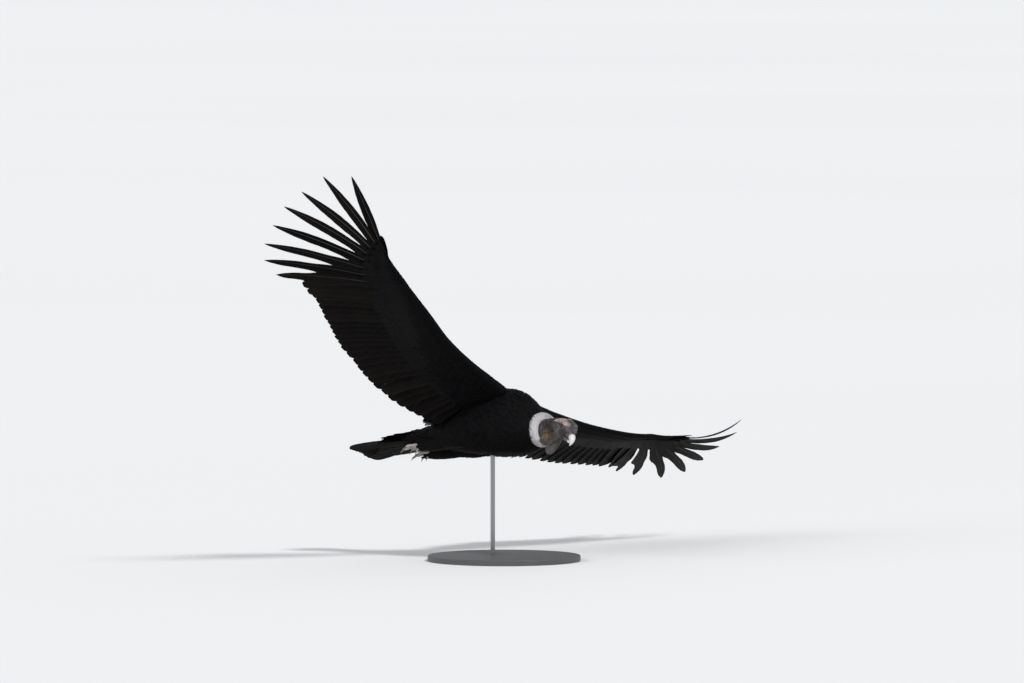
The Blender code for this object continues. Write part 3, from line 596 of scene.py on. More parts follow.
# %% Tables of the head
HEAD_PLACE = np.array((0.332, -0.0592, -0.0327))
HEAD_FORWARD = unit((0.71, -0.451, -0.542))
HEAD_UP = np.array((0.575, -0.055, 0.81))
HEAD_UP = unit(HEAD_UP - HEAD_FORWARD * dot(HEAD_FORWARD, HEAD_UP))
HEAD_LEFT = np.cross(HEAD_UP, HEAD_FORWARD)
HEAD_AXES = np.stack([HEAD_FORWARD, HEAD_LEFT, HEAD_UP])
SKULL = [
    (-0.072, 0.030, 0.030, 0.034),
    (-0.052, 0.034, 0.037, 0.038),
    (-0.024, 0.036, 0.038, 0.038),
    (0.004, 0.033, 0.034, 0.035),
    (0.028, 0.026, 0.026, 0.030),
    (0.048, 0.019, 0.019, 0.026),
]
UPPER_BILL = [
    (0.0483, 0.002, 0.0178, 0.0160, 0.0),
    (0.0640, 0.003, 0.0155, 0.0150, 0.0),
    (0.0780, 0.002, 0.0132, 0.0142, 0.3),
    (0.0890, -0.002, 0.0112, 0.0130, 0.7),
    (0.0975, -0.009, 0.0085, 0.0100, 1.1),
    (0.1020, -0.018, 0.0050, 0.0062, 1.5),
    (0.1025, -0.027, 0.0014, 0.0018, 1.7),
]
LOWER_BILL = [
    (0.0483, -0.0185, 0.0150, 0.0070, 0.0),
    (0.0640, -0.0170, 0.0130, 0.0070, 0.0),
    (0.0780, -0.0165, 0.0105, 0.0065, 0.0),
    (0.0880, -0.0160, 0.0075, 0.0050, 0.0),
    (0.0945, -0.0155, 0.0035, 0.0028, 0.0),
]
COMB = [
    (-0.046, 0.026),
    (-0.038, 0.042),
    (-0.022, 0.049),
    (-0.004, 0.049),
    (0.014, 0.051),
    (0.032, 0.048),
    (0.046, 0.049),
    (0.060, 0.043),
    (0.070, 0.037),
    (0.077, 0.028),
    (0.078, 0.017),
    (0.072, 0.006),
    (0.050, 0.000),
    (0.000, 0.010),
]
WATTLE = [
    ((0.268, -0.026, -0.020), 0.042, 0.012),
    ((0.268, -0.034, -0.052), 0.042, 0.013),
    ((0.264, -0.042, -0.080), 0.036, 0.012),
    ((0.258, -0.047, -0.103), 0.027, 0.010),
    ((0.254, -0.050, -0.119), 0.013, 0.006),
]
EYE_PLACE = np.array((0.008, 0.0262, 0.008))
EYE_RADIUS = 0.0085
EAR_PLACE = np.array((-0.034, 0.0345, -0.002))


def in_head(points):
    """Points of the head's frame in the bird's frame."""
    return HEAD_PLACE + np.asarray(points, float) @ HEAD_AXES


def to_head(points):
    return (np.asarray(points, float) - HEAD_PLACE) @ HEAD_AXES.T


print("from crown to bill tip", round(UPPER_BILL[-1][0] - SKULL[0][0], 3), "m")

# %% [markdown]
# ## Flesh of the head and neck
# The male's head is bare. Its flesh is made of rounded bodies that are melted into one skin at the end,
# with finer grain than the trunk's. Skull and neck come first, as lofts through oval rings. Sculpting them
# would take no less care.

# %% Skull and neck
def neck_frame(k):
    """Sizes and ways of the neck, with k from 0 at the ruff to 4 at the head."""
    row = read(NECK, k)
    facing = unit(row[3:6])
    across = unit(np.cross(UP, facing))
    return row, facing, across, np.cross(facing, across)


def neck_point(k, angle, side, out=0.0):
    """A point of the neck's skin; the angle runs from the side upwards."""
    row, facing, across, above = neck_frame(k)
    height = row[7] if math.sin(angle) > 0 else row[8]
    middle = row[:3] + across * side * (row[6] + out) * math.cos(angle)
    return middle + above * (height + out) * math.sin(angle)


rings = [in_head(oval((x, 0, 0), LEFT, UP, *read(SKULL, x), 40)) for x in np.linspace(-0.072, 0.048, 14)]
parts = [loft("skull", rings)]
rings = []
for k in np.linspace(-0.35, 4, 40):
    row, facing, across, above = neck_frame(k)
    middle = row[:3] + facing * min(k, 0) * 0.05
    rings.append(oval(middle, across, above, *(row[6:9] - 0.0015), 40))
parts.append(loft("neck", rings))
parts.append(ball("gullet", (0.222, -0.028, -0.049), (0.027, 0.018, 0.025)))
parts.append(ball("nape", in_head((-0.068, 0, -0.002)), (0.022, 0.029, 0.032), HEAD_AXES))
print("neck:", len(rings), "rings")

# %% [markdown]
# The comb is a thick fleshy ridge that runs from the crown over half of the bill. Its outline is rounded by
# cutting each corner, and layers of it shrink towards both sides.

# %% The comb
COMB_LAYERS = ((0, 1.0), (0.0050, 0.96), (0.0078, 0.86), (0.0095, 0.70))

outline = np.array(COMB)
comb_middle = np.mean(COMB, axis=0)
rounder = []
for k in range(len(outline)):
    before, here, after = outline[k - 1], outline[k], outline[(k + 1) % len(outline)]
    rounder += [here * 0.75 + before * 0.25, here * 0.75 + after * 0.25]
rings = []
for y, share in [(-y, share) for y, share in COMB_LAYERS[:0:-1]] + list(COMB_LAYERS):
    layer = comb_middle + (np.array(rounder) - comb_middle) * share
    rings.append(in_head(np.stack([layer[:, 0], np.full(len(layer), y), layer[:, 1]], 1)))
parts.append(loft("comb", rings))
print("comb:", len(rounder), "points in its outline")

# %% [markdown]
# Both sides have full cheeks, a ridge of flesh that edges the crown, a small pouch under the eye, folds
# that run down the neck behind the ear, lids round the eye and a rim round the ear.

# %% Cheeks, ridges, folds, lids and ears
PAD_EDGE = [
    (0.040, 0.0165, 0.0125),
    (0.027, 0.0228, 0.0168),
    (0.012, 0.0286, 0.0208),
    (-0.004, 0.0316, 0.0218),
    (-0.020, 0.0318, 0.0215),
    (-0.036, 0.0305, 0.0205),
    (-0.052, 0.0270, 0.0190),
    (-0.064, 0.0225, 0.0160),
]
PAD_RADII = (0.0022, 0.0042, 0.0056, 0.0064, 0.0062, 0.0056, 0.0048, 0.0026)
POUCH = [
    (-0.012, 0.0312, 0.0015),
    (-0.001, 0.0322, -0.0035),
    (0.012, 0.0296, -0.0042),
    (0.025, 0.0232, -0.0015),
]
NECK_FOLDS = [
    (4.2, -0.10, 0.75),
    (3.7, 0.22, 1.05),
    (3.1, 0.05, 0.85),
    (2.55, 0.30, 1.15),
    (1.95, 0.10, 0.80),
    (1.4, 0.20, 1.00),
    (0.85, 0.12, 0.90),
]


def cheek_flesh(side):
    """Rounded bodies of one side of the face."""
    bodies = []
    for name, centre, sizes in (
        ("cheek", (-0.012, 0.023, -0.014), (0.030, 0.0125, 0.017)),
        ("jaw", (0.022, 0.0165, -0.020), (0.026, 0.0080, 0.0085)),
        ("crown", (-0.022, 0.013, 0.020), (0.036, 0.0195, 0.0185)),
        ("cere", (0.048, 0.0085, 0.006), (0.026, 0.0100, 0.0150)),
    ):
        bodies.append(ball(name, in_head(mirrored(centre, side)), sizes, HEAD_AXES))
    bodies.append(tube("pad", in_head(mirrored(PAD_EDGE, side)), PAD_RADII, 14, 0.8, HEAD_LEFT))
    pouch = in_head(mirrored(POUCH, side))
    bodies.append(tube("pouch", pouch, (0.0012, 0.0024, 0.0026, 0.0012), 12, 1.0, HEAD_UP))
    return bodies


def neck_folds(side):
    """Folds of skin, each from below the neck up behind the ear."""
    folds = []
    size = 0.0008 + 0.0034 * np.sin(math.pi * np.linspace(0, 1, 18)) ** 0.7
    for k_start, slant, reach in NECK_FOLDS:
        angles = np.linspace(-1.35, reach, 18)
        path = [neck_point(k_start + slant * (a + 0.4), a, side, -0.0012) for a in angles]
        folds.append(tube("fold", path, size, 12, 0.9, (1, 0, 0.05)))
    return folds


def rims(side):
    """Beads that melt into the lids of an eye and the rim of an ear."""
    beads = []
    lids = EYE_PLACE * (1, side, 1) + (0.0012, 0.0035 * side, 0)
    facing = unit((0.35, side, 0.05))
    first = unit(np.cross(facing, UP))
    second = np.cross(facing, first) * 0.86
    for a in np.linspace(0, 2 * math.pi, 25)[:-1]:
        at = in_head(lids + 0.0088 * (first * math.cos(a) + second * math.sin(a)))
        beads.append(ball("lid", at, (0.0024,) * 3, rows=5))
    ear = EAR_PLACE * (1, side, 1)
    for a in np.linspace(0, 2 * math.pi, 17)[:-1]:
        at = in_head(ear + (0.0064 * math.cos(a), -0.0006 * side, 0.0074 * math.sin(a)))
        beads.append(ball("ear_rim", at, (0.0021,) * 3, rows=4))
    return beads


for side in (1, -1):
    parts += cheek_flesh(side) + neck_folds(side) + rims(side)
print("parts of the head so far:", len(parts))

# %% [markdown]
# A flap of loose skin hangs under the throat, with creases down both of its sides. With it in place, all
# the flesh is melted into one skin.

# %% The flap under the throat, and melting
FLAP_LONG = unit((0.80, -0.30, -0.45))
FLAP_OUT = unit(np.cross(UP, FLAP_LONG))
CREASES = [(-0.72, 0.6, 3.2), (-0.34, 0.9, 3.7), (0.06, 0.5, 3.6), (0.46, 0.2, 3.0), (0.80, 0.0, 2.2)]

flap = [(i, *c, length, thick) for i, (c, length, thick) in enumerate(WATTLE)]
rings = []
for k in np.linspace(0, 4, 40):
    row = read(flap, k)
    round_off = math.sqrt(1 - min(0.97, max(0.0, k - 3.0)) ** 2)
    length = (row[3] + 0.006 * max(0.0, k - 3)) * round_off
    rings.append(oval(row[:3], FLAP_LONG, FLAP_OUT, length, row[4] * round_off, row[4] * round_off, 32))
parts.append(loft("wattle", rings))
crease_size = 0.0008 + 0.0026 * np.sin(math.pi * np.linspace(0, 1, 14)) ** 0.6
for side in (1, -1):
    for share, first_row, last_row in CREASES:
        path = []
        for k in np.linspace(first_row, last_row, 14):
            row = read(flap, k)
            place = share + 0.10 * math.sin(2.1 * k + 5 * share)
            out = row[4] * math.sqrt(max(0.05, 1 - place**2)) - 0.0010
            path.append(row[:3] + FLAP_LONG * (row[3] - 0.001) * place + FLAP_OUT * side * out)
        parts.append(tube("crease", path, crease_size, 10, 1.0, FLAP_LONG))
head_skin = melted("head_skin", parts, 0.00105, 4)
print("head skin:", len(head_skin.data.polygons), "faces")

# %% [markdown]
# The eye sockets, the cupped ears, the nostril that opens right through and the line of the mouth are cut
# afterwards, with a Boolean, because melting would round them away.

# %% Cut sockets, ears, nostrils and mouth
MOUTH_LINE = [
    (0.016, 0.040, 0.0290, -0.0118),
    (0.030, 0.036, 0.0215, -0.0130),
    (0.048, 0.030, 0.012, -0.0125),
    (0.090, 0.030, 0.006, -0.0122),
]


def nostril():
    """A rod through the bill's base, which cuts the opening from side to side."""
    return ball("nostril", in_head((0.0600, 0, 0.0085)), (0.0042, 0.05, 0.0019), HEAD_AXES, rows=12)


tools = []
for side in (1, -1):
    tools.append(ball("socket", in_head(EYE_PLACE * (1, side, 1)), (EYE_RADIUS + 0.0002,) * 3, rows=20))
    cup = EAR_PLACE * (1, side, 1) + (0, 0.0012 * side, 0)
    tools.append(ball("ear_cup", in_head(cup), (0.0048, 0.0060, 0.0052), rows=10))
    rings = []
    for x, outside, inside, z in MOUTH_LINE:
        corners = (outside, 0.0011), (inside, 0.0003), (inside, -0.0003), (outside, -0.0011)
        ring = [(x, y, z + gap) for y, gap in corners]
        rings.append(in_head(mirrored(ring, side)))
    tools.append(loft("mouth_line", rings))
tools.append(nostril())
carved(head_skin, tools)
print("after the cuts:", len(head_skin.data.polygons), "faces")

# %% [markdown]
# Fine wrinkles are moved into the skin point by point: rings round the neck, cracks, a coarse grain on comb,
# crown and wattle, and a hollow under the pad. Finer grain than the skin's points is left to the finish.

# %% Wrinkle the skin of the head
CROWN_BORDER = ((-0.075, -0.05, -0.03, 0.008, 0.03, 0.05), (0.001, 0.0085, 0.0130, 0.0190, 0.0200, 0.014))
NECK_RING = 0.0064

co = points_of(head_skin)
normals = np.zeros(len(co) * 3)
head_skin.data.vertices.foreach_get("normal", normals)
local = to_head(co)
x, y, z = local.T
from_eye = np.min([np.linalg.norm(local - EYE_PLACE * (1, side, 1), axis=1) for side in (1, -1)], axis=0)
calm = smooth_step(0.0088, 0.0130, from_eye)
on_neck = smooth_step(-0.050, -0.085, x)
on_comb = smooth_step(0.036, 0.041, z) * smooth_step(-0.06, -0.04, x)
on_wattle = smooth_step(-0.036, -0.050, z)
border = np.interp(x, *CROWN_BORDER)
on_crown = smooth_step(-0.002, 0.003, z - border) * smooth_step(-0.085, -0.070, x)
# Under the pad the skin is pushed in, and the finish darkens it there with painted shade.
under_pad = np.exp(-(((z - border + 0.0055) / 0.0035) ** 2))
under_pad = under_pad * smooth_step(0.014, 0.004, x) * smooth_step(0.018, 0.024, np.abs(y))
under_pad = under_pad * smooth_step(-0.085, -0.06, x)

blur = np.array([noise.fractal(Vector(p) * 55, 1.0, 2.0, 3) for p in local])
grain = np.array([noise.noise(Vector((p[0] * 170, p[1] * 170, p[2] * 170))) for p in local])
cracks = []
for p, warp in zip(local, blur):
    bent = Vector((p[0] * 55 + 1.3 * warp, p[1] * 150 - 1.1 * warp, p[2] * 130 + 1.2 * warp))
    near = noise.voronoi(bent)[0]
    cracks.append(near[1] - near[0])
cracks = (1 - smooth_step(0.0, 0.42, np.array(cracks))) * smooth_step(-0.35, 0.25, blur + 0.6 * grain)
along_neck = co @ unit((0.86, -0.24, -0.30))
rings_of_neck = np.sin(along_neck * 2 * math.pi / NECK_RING + blur * 4.5) * (0.6 + 0.8 * blur)

push = 0.0010 * rings_of_neck * on_neck * (1 - on_wattle)
push -= cracks * (0.0010 * on_crown + 0.0004 * on_comb + 0.0006 * on_wattle + 0.0003)
push += 0.0016 * blur * (0.4 + on_comb + on_crown + on_wattle)
push += 0.00035 * grain
push -= 0.0012 * under_pad
co = co + normals.reshape(-1, 3) * (push * calm)[:, None]
move_points(head_skin, co)
print("wrinkles up to", round(float(np.abs(push).max()) * 1000, 2), "mm")

# %% [markdown]
# ## One skin
# Trunk and head become one piece. Their join lies under the ruff. Each point of the skin keeps which zone
# it is in, so that the finish can give crown, cheek, neck and throat their own tones without any picture.

# %% Join the skin and mark its zones
to_patch = np.min([np.linalg.norm(co - neck_point(1.9, -1.15, side), axis=1) for side in (1, -1)], axis=0)
on_ridge = smooth_step(0.033, 0.038, z) * smooth_step(-0.030, -0.008, x)
pink = on_crown * smooth_step(0.027, 0.012, x) * (1 - on_ridge)
# Painted shadow: the lore between cheek and bill, below the eye, is darkened in the finish.
lore_shadow = smooth_step(0.006, 0.024, x) * smooth_step(0.060, 0.046, x) * smooth_step(0.014, 0.004, z)
lore_shadow = lore_shadow * smooth_step(0.010, 0.012, from_eye)
count_of_body = len(body_skin.data.vertices)
skin = joined("skin", [body_skin, head_skin])
# The third set holds masks of painted shade: the cracks, the hollow under the pad and the lore.
for key, columns in (
    ("zones", (pink, smooth_step(0.036, 0.010, to_patch), on_neck)),
    ("bare", (1.0, np.maximum(smooth_step(0.022, 0.042, x), on_ridge), on_wattle)),
    ("painted_shade", (cracks, under_pad, lore_shadow)),
):
    values = np.zeros((len(skin.data.vertices), 3))
    values[count_of_body:] = np.stack(np.broadcast_arrays(*columns), 1)
    keep_values(skin, key, values)
print("points of the skin:", len(skin.data.vertices), "of them on the head:", len(co))

# %% [markdown]
# ## The finish of the skin
# The bare skin is grey, darker on the neck, where its own dark tone is deepened with painted shade, and has a
# rosy crown and a tan patch at the side of the neck. Each zone is mixed over the last one, from a dark and a
# light tone of its own, and painted shade darkens the cracks, the hollow under the pad and the lore between
# cheek and bill.

# %% Finish of the skin
flesh = Finish("bare_skin")
crown, side_patch, neck_part = flesh.kept("zones")
is_head, front, throat = flesh.kept("bare")
crack, shade, lore = flesh.kept("painted_shade")
mottle = ((flesh.spots(60, 4) - 0.5) * 2.2 + 0.5).clamped()
fine = flesh.spots(420, 3)
tone = flesh.mix(mottle, (0.026, 0.023, 0.024), (0.118, 0.107, 0.106))
# The neck's row keeps its own dark skin and deepens it further with painted shade.
for share, speckle, dark, light in (
    (neck_part * 0.93, mottle, (0.005, 0.0035, 0.0045), (0.024, 0.015, 0.015)),
    (throat * 0.8, mottle, (0.022, 0.020, 0.020), (0.105, 0.095, 0.090)),
    (side_patch * (0.45 + mottle * 0.5), fine, (0.075, 0.048, 0.018), (0.22, 0.145, 0.062)),
    (front * 0.9, mottle, (0.020, 0.019, 0.023), (0.096, 0.090, 0.098)),
    (crown * 0.95, mottle, (0.15, 0.100, 0.092), (0.57, 0.440, 0.405)),
):
    tone = flesh.mix(share, tone, flesh.mix(speckle, dark, light))
# Painted shadow on the lore, between cheek and bill.
tone = flesh.mix(lore * 0.75, tone, (0.018, 0.014, 0.015))
# Painted shade: the cracks, most of all on the crown, and the hollow under the pad are darkened.
tone = flesh.mix((crack * crown * 0.5 + crack * 0.22 + shade * 0.8).clamped(), tone, (0.030, 0.020, 0.020))
tone = flesh.mix((0.43 - fine).clamped() * 3.5, tone, (0.028, 0.021, 0.020))
tone = flesh.mix(is_head, (0.003, 0.003, 0.0035), tone)
flesh.surface(
    base_color=tone,
    roughness=0.82 + mottle * 0.22 - is_head * 0.36,
    normal=flesh.bump(fine * 0.6 + mottle * 0.4, 0.0012),
    specular_ior_level=0.35,
)
replaced = ("torso", "neck", "head", "comb", "wattle", "thigh_left", "thigh_right")
finished(skin, flesh.material, replaced)

# %% [markdown]
# ## How a feather is made
# A feather is a thin closed blade on both sides of a shaft. It tapers, bends, twists and is hollow
# underneath. All feathers of one kind have the same net of points, so that numpy works out hundreds at
# once, and they become one mesh. Hair curves would be quicker to comb, but they don't leave Blender as
# mesh. Every point keeps how far along and across its feather it lies, for the finish, and each feather has
# its own small place on a second UV map.

# %% The faces of one blade
def blade_net(steps, wide, walls):
    """Faces of a blade, and which points of its underside are its own instead of shared with the top."""
    number = np.arange(steps * wide).reshape(steps, wide)
    own = np.full((steps, wide), walls)
    own[1:-1, 1:-1] = True
    low = number.copy()
    low[own] = steps * wide + np.arange(own.sum())
    quads = [
        np.stack([number[:-1, :-1], number[1:, :-1], number[1:, 1:], number[:-1, 1:]], -1).reshape(-1, 4),
        np.stack([low[:-1, :-1], low[:-1, 1:], low[1:, 1:], low[1:, :-1]], -1).reshape(-1, 4),
    ]
    if walls:
        for upper, lower in (
            (number[:, 0], low[:, 0]),
            (number[-1], low[-1]),
            (number[::-1, -1], low[::-1, -1]),
            (number[0, ::-1], low[0, ::-1]),
        ):
            quads.append(np.stack([upper[:-1], lower[:-1], lower[1:], upper[1:]], -1))
    return np.concatenate(quads), own


print("a blade of 6 by 5 points has", len(blade_net(6, 5, False)[0]), "faces")

# %% [markdown]
# A blade starts as a line from root to tip that sags and bows. Across it run rows of points, turned by the
# roll and hollowed by the cup. Frayed edges come from widths that vary a little from point to point.

# %% The feather maker
ONE_PATCH = (0.003, 0.003)


def spots_on_map(u, v):
    """Places of feathers on the second UV map."""
    return np.stack(np.broadcast_arrays(u, v), -1)


class Plumage:
    """Many feathers in one mesh, with what their finish needs kept at each point."""

    def __init__(self):
        self.points, self.quads, self.lie, self.marks, self.uv, self.start = [], [], [], [], [], 0

    def add(self, side, root, tip, ups, inner, outer, stations, spread, uv, **shape):
        """Feathers of one net. inner and outer are half widths at the stations, spread the places across."""
        root, tip = np.asarray(root, float), np.asarray(tip, float)
        count, steps, wide = len(root), len(stations), len(spread)
        first, last = (unit(np.asarray(up, float)) for up in ups)
        t = np.asarray(stations, float)[None, :, None]
        q = np.asarray(spread, float)[None, None, :]

        def each(name, usual=0.0):
            return np.broadcast_to(np.asarray(shape.get(name, usual), float), (count,))[:, None, None]

        span = tip - root
        length = np.linalg.norm(span, axis=1)
        along = span / length[:, None]
        middle = unit(first + last)
        middle = unit(middle - along * dot(along, middle))
        lead = np.cross(along, middle)
        arch = 4 * t * (1 - t)
        centre = root[:, None] + span[:, None] * t
        centre = centre + (lead[:, None] * each("bow") - middle[:, None] * each("sag")) * arch
        slope = unit(np.gradient(centre, stations, axis=1))
        up = unit(first[:, None] * (1 - t) + last[:, None] * t)
        up = turned(up, np.broadcast_to(along[:, None], up.shape), each("roll"))
        normal = unit(up - slope * dot(up, slope))
        across = np.cross(normal, slope)

        inner, outer = (np.broadcast_to(w, (count, steps))[:, :, None] for w in (inner, outer))
        ragged = shape.get("ragged", 0.0)
        if ragged:
            chance = shape["noise"].uniform(-1, 1, (count, steps, 1))
            inner = inner * (1 + ragged * chance)
            outer = outer * (1 - ragged * chance[:, ::-1])
        offset = np.where(q > 0, inner * q, outer * q)
        half = np.where(q > 0, inner, outer)
        sweep = shape.get("sweep", 0.0) * half * np.abs(q) ** 1.5
        height = -each("cup", 0.08) * half * q**2
        thick = shape.get("thick", 0.0006) * (1 - 0.5 * t) * (1 - 0.6 * q**2)
        base = centre[:, :, None] + across[:, :, None] * offset[..., None]
        base = base + slope[:, :, None] * sweep[..., None]
        top = base + normal[:, :, None] * (height + thick / 2)[..., None]
        under = base + normal[:, :, None] * (height - thick / 2)[..., None]

        walls = shape.get("walls", False)
        quads, own = blade_net(steps, wide, walls)
        top[:, ~own] = ((top + under) / 2)[:, ~own]
        points = np.concatenate([top.reshape(count, -1, 3), under[:, own]], 1)
        size = points.shape[1]

        def both(values):
            values = np.broadcast_to(values, (count, steps, wide))
            return np.concatenate([values.reshape(count, -1), values[:, own]], 1)

        white = both(shape.get("white", 0.0))
        if not shape.get("white_under", True):
            white[:, steps * wide :] = 0
        lie = np.stack([both(t * length[:, None, None]), both(offset), both(each("tone"))], -1)
        marks = np.stack([white, both(t), both(np.abs(q))], -1)
        place, patch = uv
        flat = np.stack([both(q) * 0.5, both(t) - 0.5], -1) * np.asarray(patch).reshape(-1, 1, 2)
        flat = flat + np.asarray(place, float)[:, None]
        if side < 0:
            points = points * (1, -1, 1)
            quads = quads[:, ::-1]
        all_quads = quads[None] + self.start + size * np.arange(count)[:, None, None]
        self.points.append(points.reshape(-1, 3))
        self.quads.append(all_quads.reshape(-1, 4))
        self.lie.append(lie.reshape(-1, 3))
        self.marks.append(marks.reshape(-1, 3))
        self.uv.append(flat.reshape(-1, 2))
        self.start += count * size

    def row(self, net, side, root, tip, ups, half, places, noise_of, **shape):
        """Small feathers as wide on both sides: a net is their stations, widths there and places across."""
        stations, profile, spread = net
        widths = half * np.array(profile)
        tone = noise_of.uniform(0, 1, len(root))
        shape = dict(shape, tone=tone, noise=noise_of)
        self.add(side, root, tip, ups, widths, widths, stations, spread, (places, ONE_PATCH), **shape)

    def piece(self, name, finish, slot, replaces=(), crisp=60):
        quads = np.concatenate(self.quads)
        made = new_object(name, np.concatenate(self.points), quads.tolist())
        keep_values(made, "lie", np.concatenate(self.lie))
        keep_values(made, "marks", np.concatenate(self.marks))
        unwrap(made, np.concatenate(self.uv)[quads.ravel()])
        finished(made, finish, replaces, crisp)


def shafts(plumage, side, root, tip, ups, radius, uv, **shape):
    """The horny shafts of feathers, as slim blades nearly as thick as wide."""
    t = np.linspace(0, 0.97, 14)
    width = radius * (1 - 0.85 * t)
    shape = dict(shape, thick=radius * 1.9, cup=0.0, white=0.11)
    plumage.add(side, root, tip, ups, width, width, t, (-1, 0, 1), uv, **shape)


print("feather maker ready")

# %% [markdown]
# ## Flight feathers
# Each wing carries twenty-four feathers on the forearm and ten on the hand. Each lies over the next one
# out, like shingles, and the outer eight are cut narrow past a notch, which opens the slots between the
# fingers. They start where the solids' feathers do, with more points, a hollow underside, and ragged edges.

# %% Place the flight feathers
def secondary(i, side):
    """Root's distance from the body, depth of the root and tip of a feather of the forearm."""
    share = i / (SECONDARIES - 1)
    return 0.150 + (WRIST - 0.160) * share, 0.72, edge_point(TRAILING_EDGE, 0.170 + 0.856 * share, side)


def primary(i, side):
    """The same facts for a feather of the hand."""
    share = i / (PRIMARIES - 1)
    if i < PLAIN_PRIMARIES:
        tip = edge_point(TRAILING_EDGE, 1.072 + 0.064 * i, side) - (0, 0, 0.004)
    else:
        tip = np.array(FINGER_TIPS[PRIMARIES - 1 - i])
    wrist, hand = edge_point(LEADING_EDGE, WRIST, 0), edge_point(LEADING_EDGE, HAND, 0)
    twist = HAND_TWIST[side] * min(1.0, (i + 1) / (PLAIN_PRIMARIES + 1))
    tip = wrist + turned(tip - wrist, unit(hand - wrist), twist)
    return WRIST + 0.018 + 0.215 * share**0.85, 0.72 - 0.36 * share, tip


def feather_places(side):
    """Roots, tips, upward ways at both ends and covert roots of all flight feathers of a wing."""
    rows = [secondary(i, side) for i in range(SECONDARIES)] + [primary(i, side) for i in range(PRIMARIES)]
    root, tip, cover, thick = [], [], [], []
    for y, depth, end in rows:
        front, back_way, up = chord_frame(y, side)
        size, thickness = read(ARM, y)
        root.append(front + back_way * size * depth)
        cover.append(front + back_way * size * 0.42)
        tip.append(end)
        thick.append(thickness)
    root, tip = np.array(root), np.array(tip)
    ups = []
    for ends in (root, tip):
        span = np.gradient(ends, axis=0)
        ups.append(unit(np.cross(span, tip - root)))
    return {"root": root, "tip": tip, "ups": ups, "cover": np.array(cover), "thick": np.array(thick)}


FLIGHT_STATIONS = np.linspace(0, 1, 25) ** 0.92
FLIGHT_SPREAD = (-1, -0.72, -0.40, -0.08, 0.08, 0.40, 0.72, 1)
PLAIN_WIDTHS = [
    (0.0, 0.004, 0.004),
    (0.12, 0.018, 0.015),
    (0.30, 0.030, 0.024),
    (0.65, 0.033, 0.027),
    (0.86, 0.032, 0.026),
    (0.92, 0.028, 0.022),
    (0.96, 0.021, 0.016),
    (0.985, 0.012, 0.009),
    (1.0, 0.002, 0.002),
]


def finger_widths(notch, fill):
    free = 1 - notch
    return [
        (0.0, 0.006, 0.005),
        (0.60 * notch, 0.010 + 0.036 * notch * fill, 0.007 + 0.014 * notch),
        (notch, 0.014 + 0.046 * notch * fill, 0.009 + 0.016 * notch),
        (notch + 0.22 * free, 0.0180 + 0.014 * notch * fill, 0.0115 + 0.004 * notch),
        (notch + 0.45 * free, 0.0210, 0.0150),
        (notch + 0.70 * free, 0.0180, 0.0125),
        (notch + 0.88 * free, 0.0100, 0.0070),
        (notch + 0.97 * free, 0.0042, 0.0030),
        (1.0, 0.0008, 0.0008),
    ]


HAND_WIDER = 1.22
FINGER_FILL = {1: 1.35, -1: 0.92}
wings = {side: feather_places(side) for side in (1, -1)}
print("flight feathers in each wing:", len(wings[1]["root"]))

# %% [markdown]
# From above, an adult male shows a broad pale panel: the outer halves of the forearm's feathers and their
# coverts are greyish white, edged with black. From below all of them are dark. The panel is kept as a value
# at each point.

# %% Make the flight feathers
SHINGLE = math.radians(-8.6)
FOREARM_SAG, FOREARM_BOW = -0.010, 0.004
TIP_JITTER = {True: (0.004, 0.003, 0.0), False: (0.001, 0.001, 0)}
SHAFT_RADIUS = {True: 0.0021, False: 0.0026}
LEFT_SHORTER = 0.10


def panel(y):
    """How white the upper side is, at a distance from the body: the forearm is, the hand isn't."""
    return smooth_step(0.12, 0.22, y) * smooth_step(0.95, 0.78, y)


def vane_widths(outer, side):
    """Half widths of both vanes, outer counting the hand's feathers from the wrist on."""
    if outer < 0:
        return read(PLAIN_WIDTHS, FLIGHT_STATIONS)
    if outer < PLAIN_PRIMARIES:
        return read(PLAIN_WIDTHS, FLIGHT_STATIONS) * HAND_WIDER
    return read(finger_widths(NOTCHES[outer - PLAIN_PRIMARIES], FINGER_FILL[side]), FLIGHT_STATIONS)


def flight(side, finish, name, replaced):
    plumage, wing, noise_of = Plumage(), wings[side], np.random.default_rng(41 + side)
    t, q = FLIGHT_STATIONS, np.array(FLIGHT_SPREAD)[None, :]
    along_panel = smooth_step(0.05, 0.20, t)[:, None] * smooth_step(0.985, 0.93, t)[:, None]
    for i in range(SECONDARIES + PRIMARIES):
        outer = i - SECONDARIES
        plain = outer < PLAIN_PRIMARIES
        inner_width, outer_width = vane_widths(outer, side).T
        one = slice(i, i + 1)
        root, ups = wing["root"][one], [up[one] for up in wing["ups"]]
        tip = wing["tip"][one] + noise_of.uniform(-1, 1, (1, 3)) * TIP_JITTER[plain]
        if plain and side > 0:
            tip = tip + (root - tip) * LEFT_SHORTER * smooth_step(14, 26, i)
        sag, bow = (FOREARM_SAG, FOREARM_BOW) if outer < 0 else (PRIMARY_SAG[side][outer], PRIMARY_BOW[outer])
        shape = dict(sag=sag, bow=bow, roll=SHINGLE, tone=noise_of.uniform(0, 1))
        white = panel(root[0, 1]) * along_panel * smooth_step(0.55, 0.05, q) if outer < 0 else 0.0
        u, v = (i % 6 + 0.5) / 6, (i // 6 + 0.5) / 6
        plumage.add(
            side, root, tip, ups, inner_width, outer_width, t, FLIGHT_SPREAD, ([(u, v)], (0.15, 0.15)),
            cup=0.07, thick=0.0008, walls=True, ragged=0.035, noise=noise_of,
            sweep=0.2 if plain else 0.15, white=white, white_under=False, **shape
        )
        shafts(plumage, side, root, tip, ups, SHAFT_RADIUS[plain], ([(u + 0.079, v)], (0.004, 0.15)), **shape)
    plumage.piece(name, finish, "feathers", replaced)


print("white of the panel at half the forearm:", round(float(panel(0.5)), 2))

# %% [markdown]
# ## The finish of the feathers
# Black plumage isn't flat black. Barbs slant off each shaft, edges fade to brown, streaks run along the
# vanes, and the shaft is paler. All of that comes from the values kept at each point.

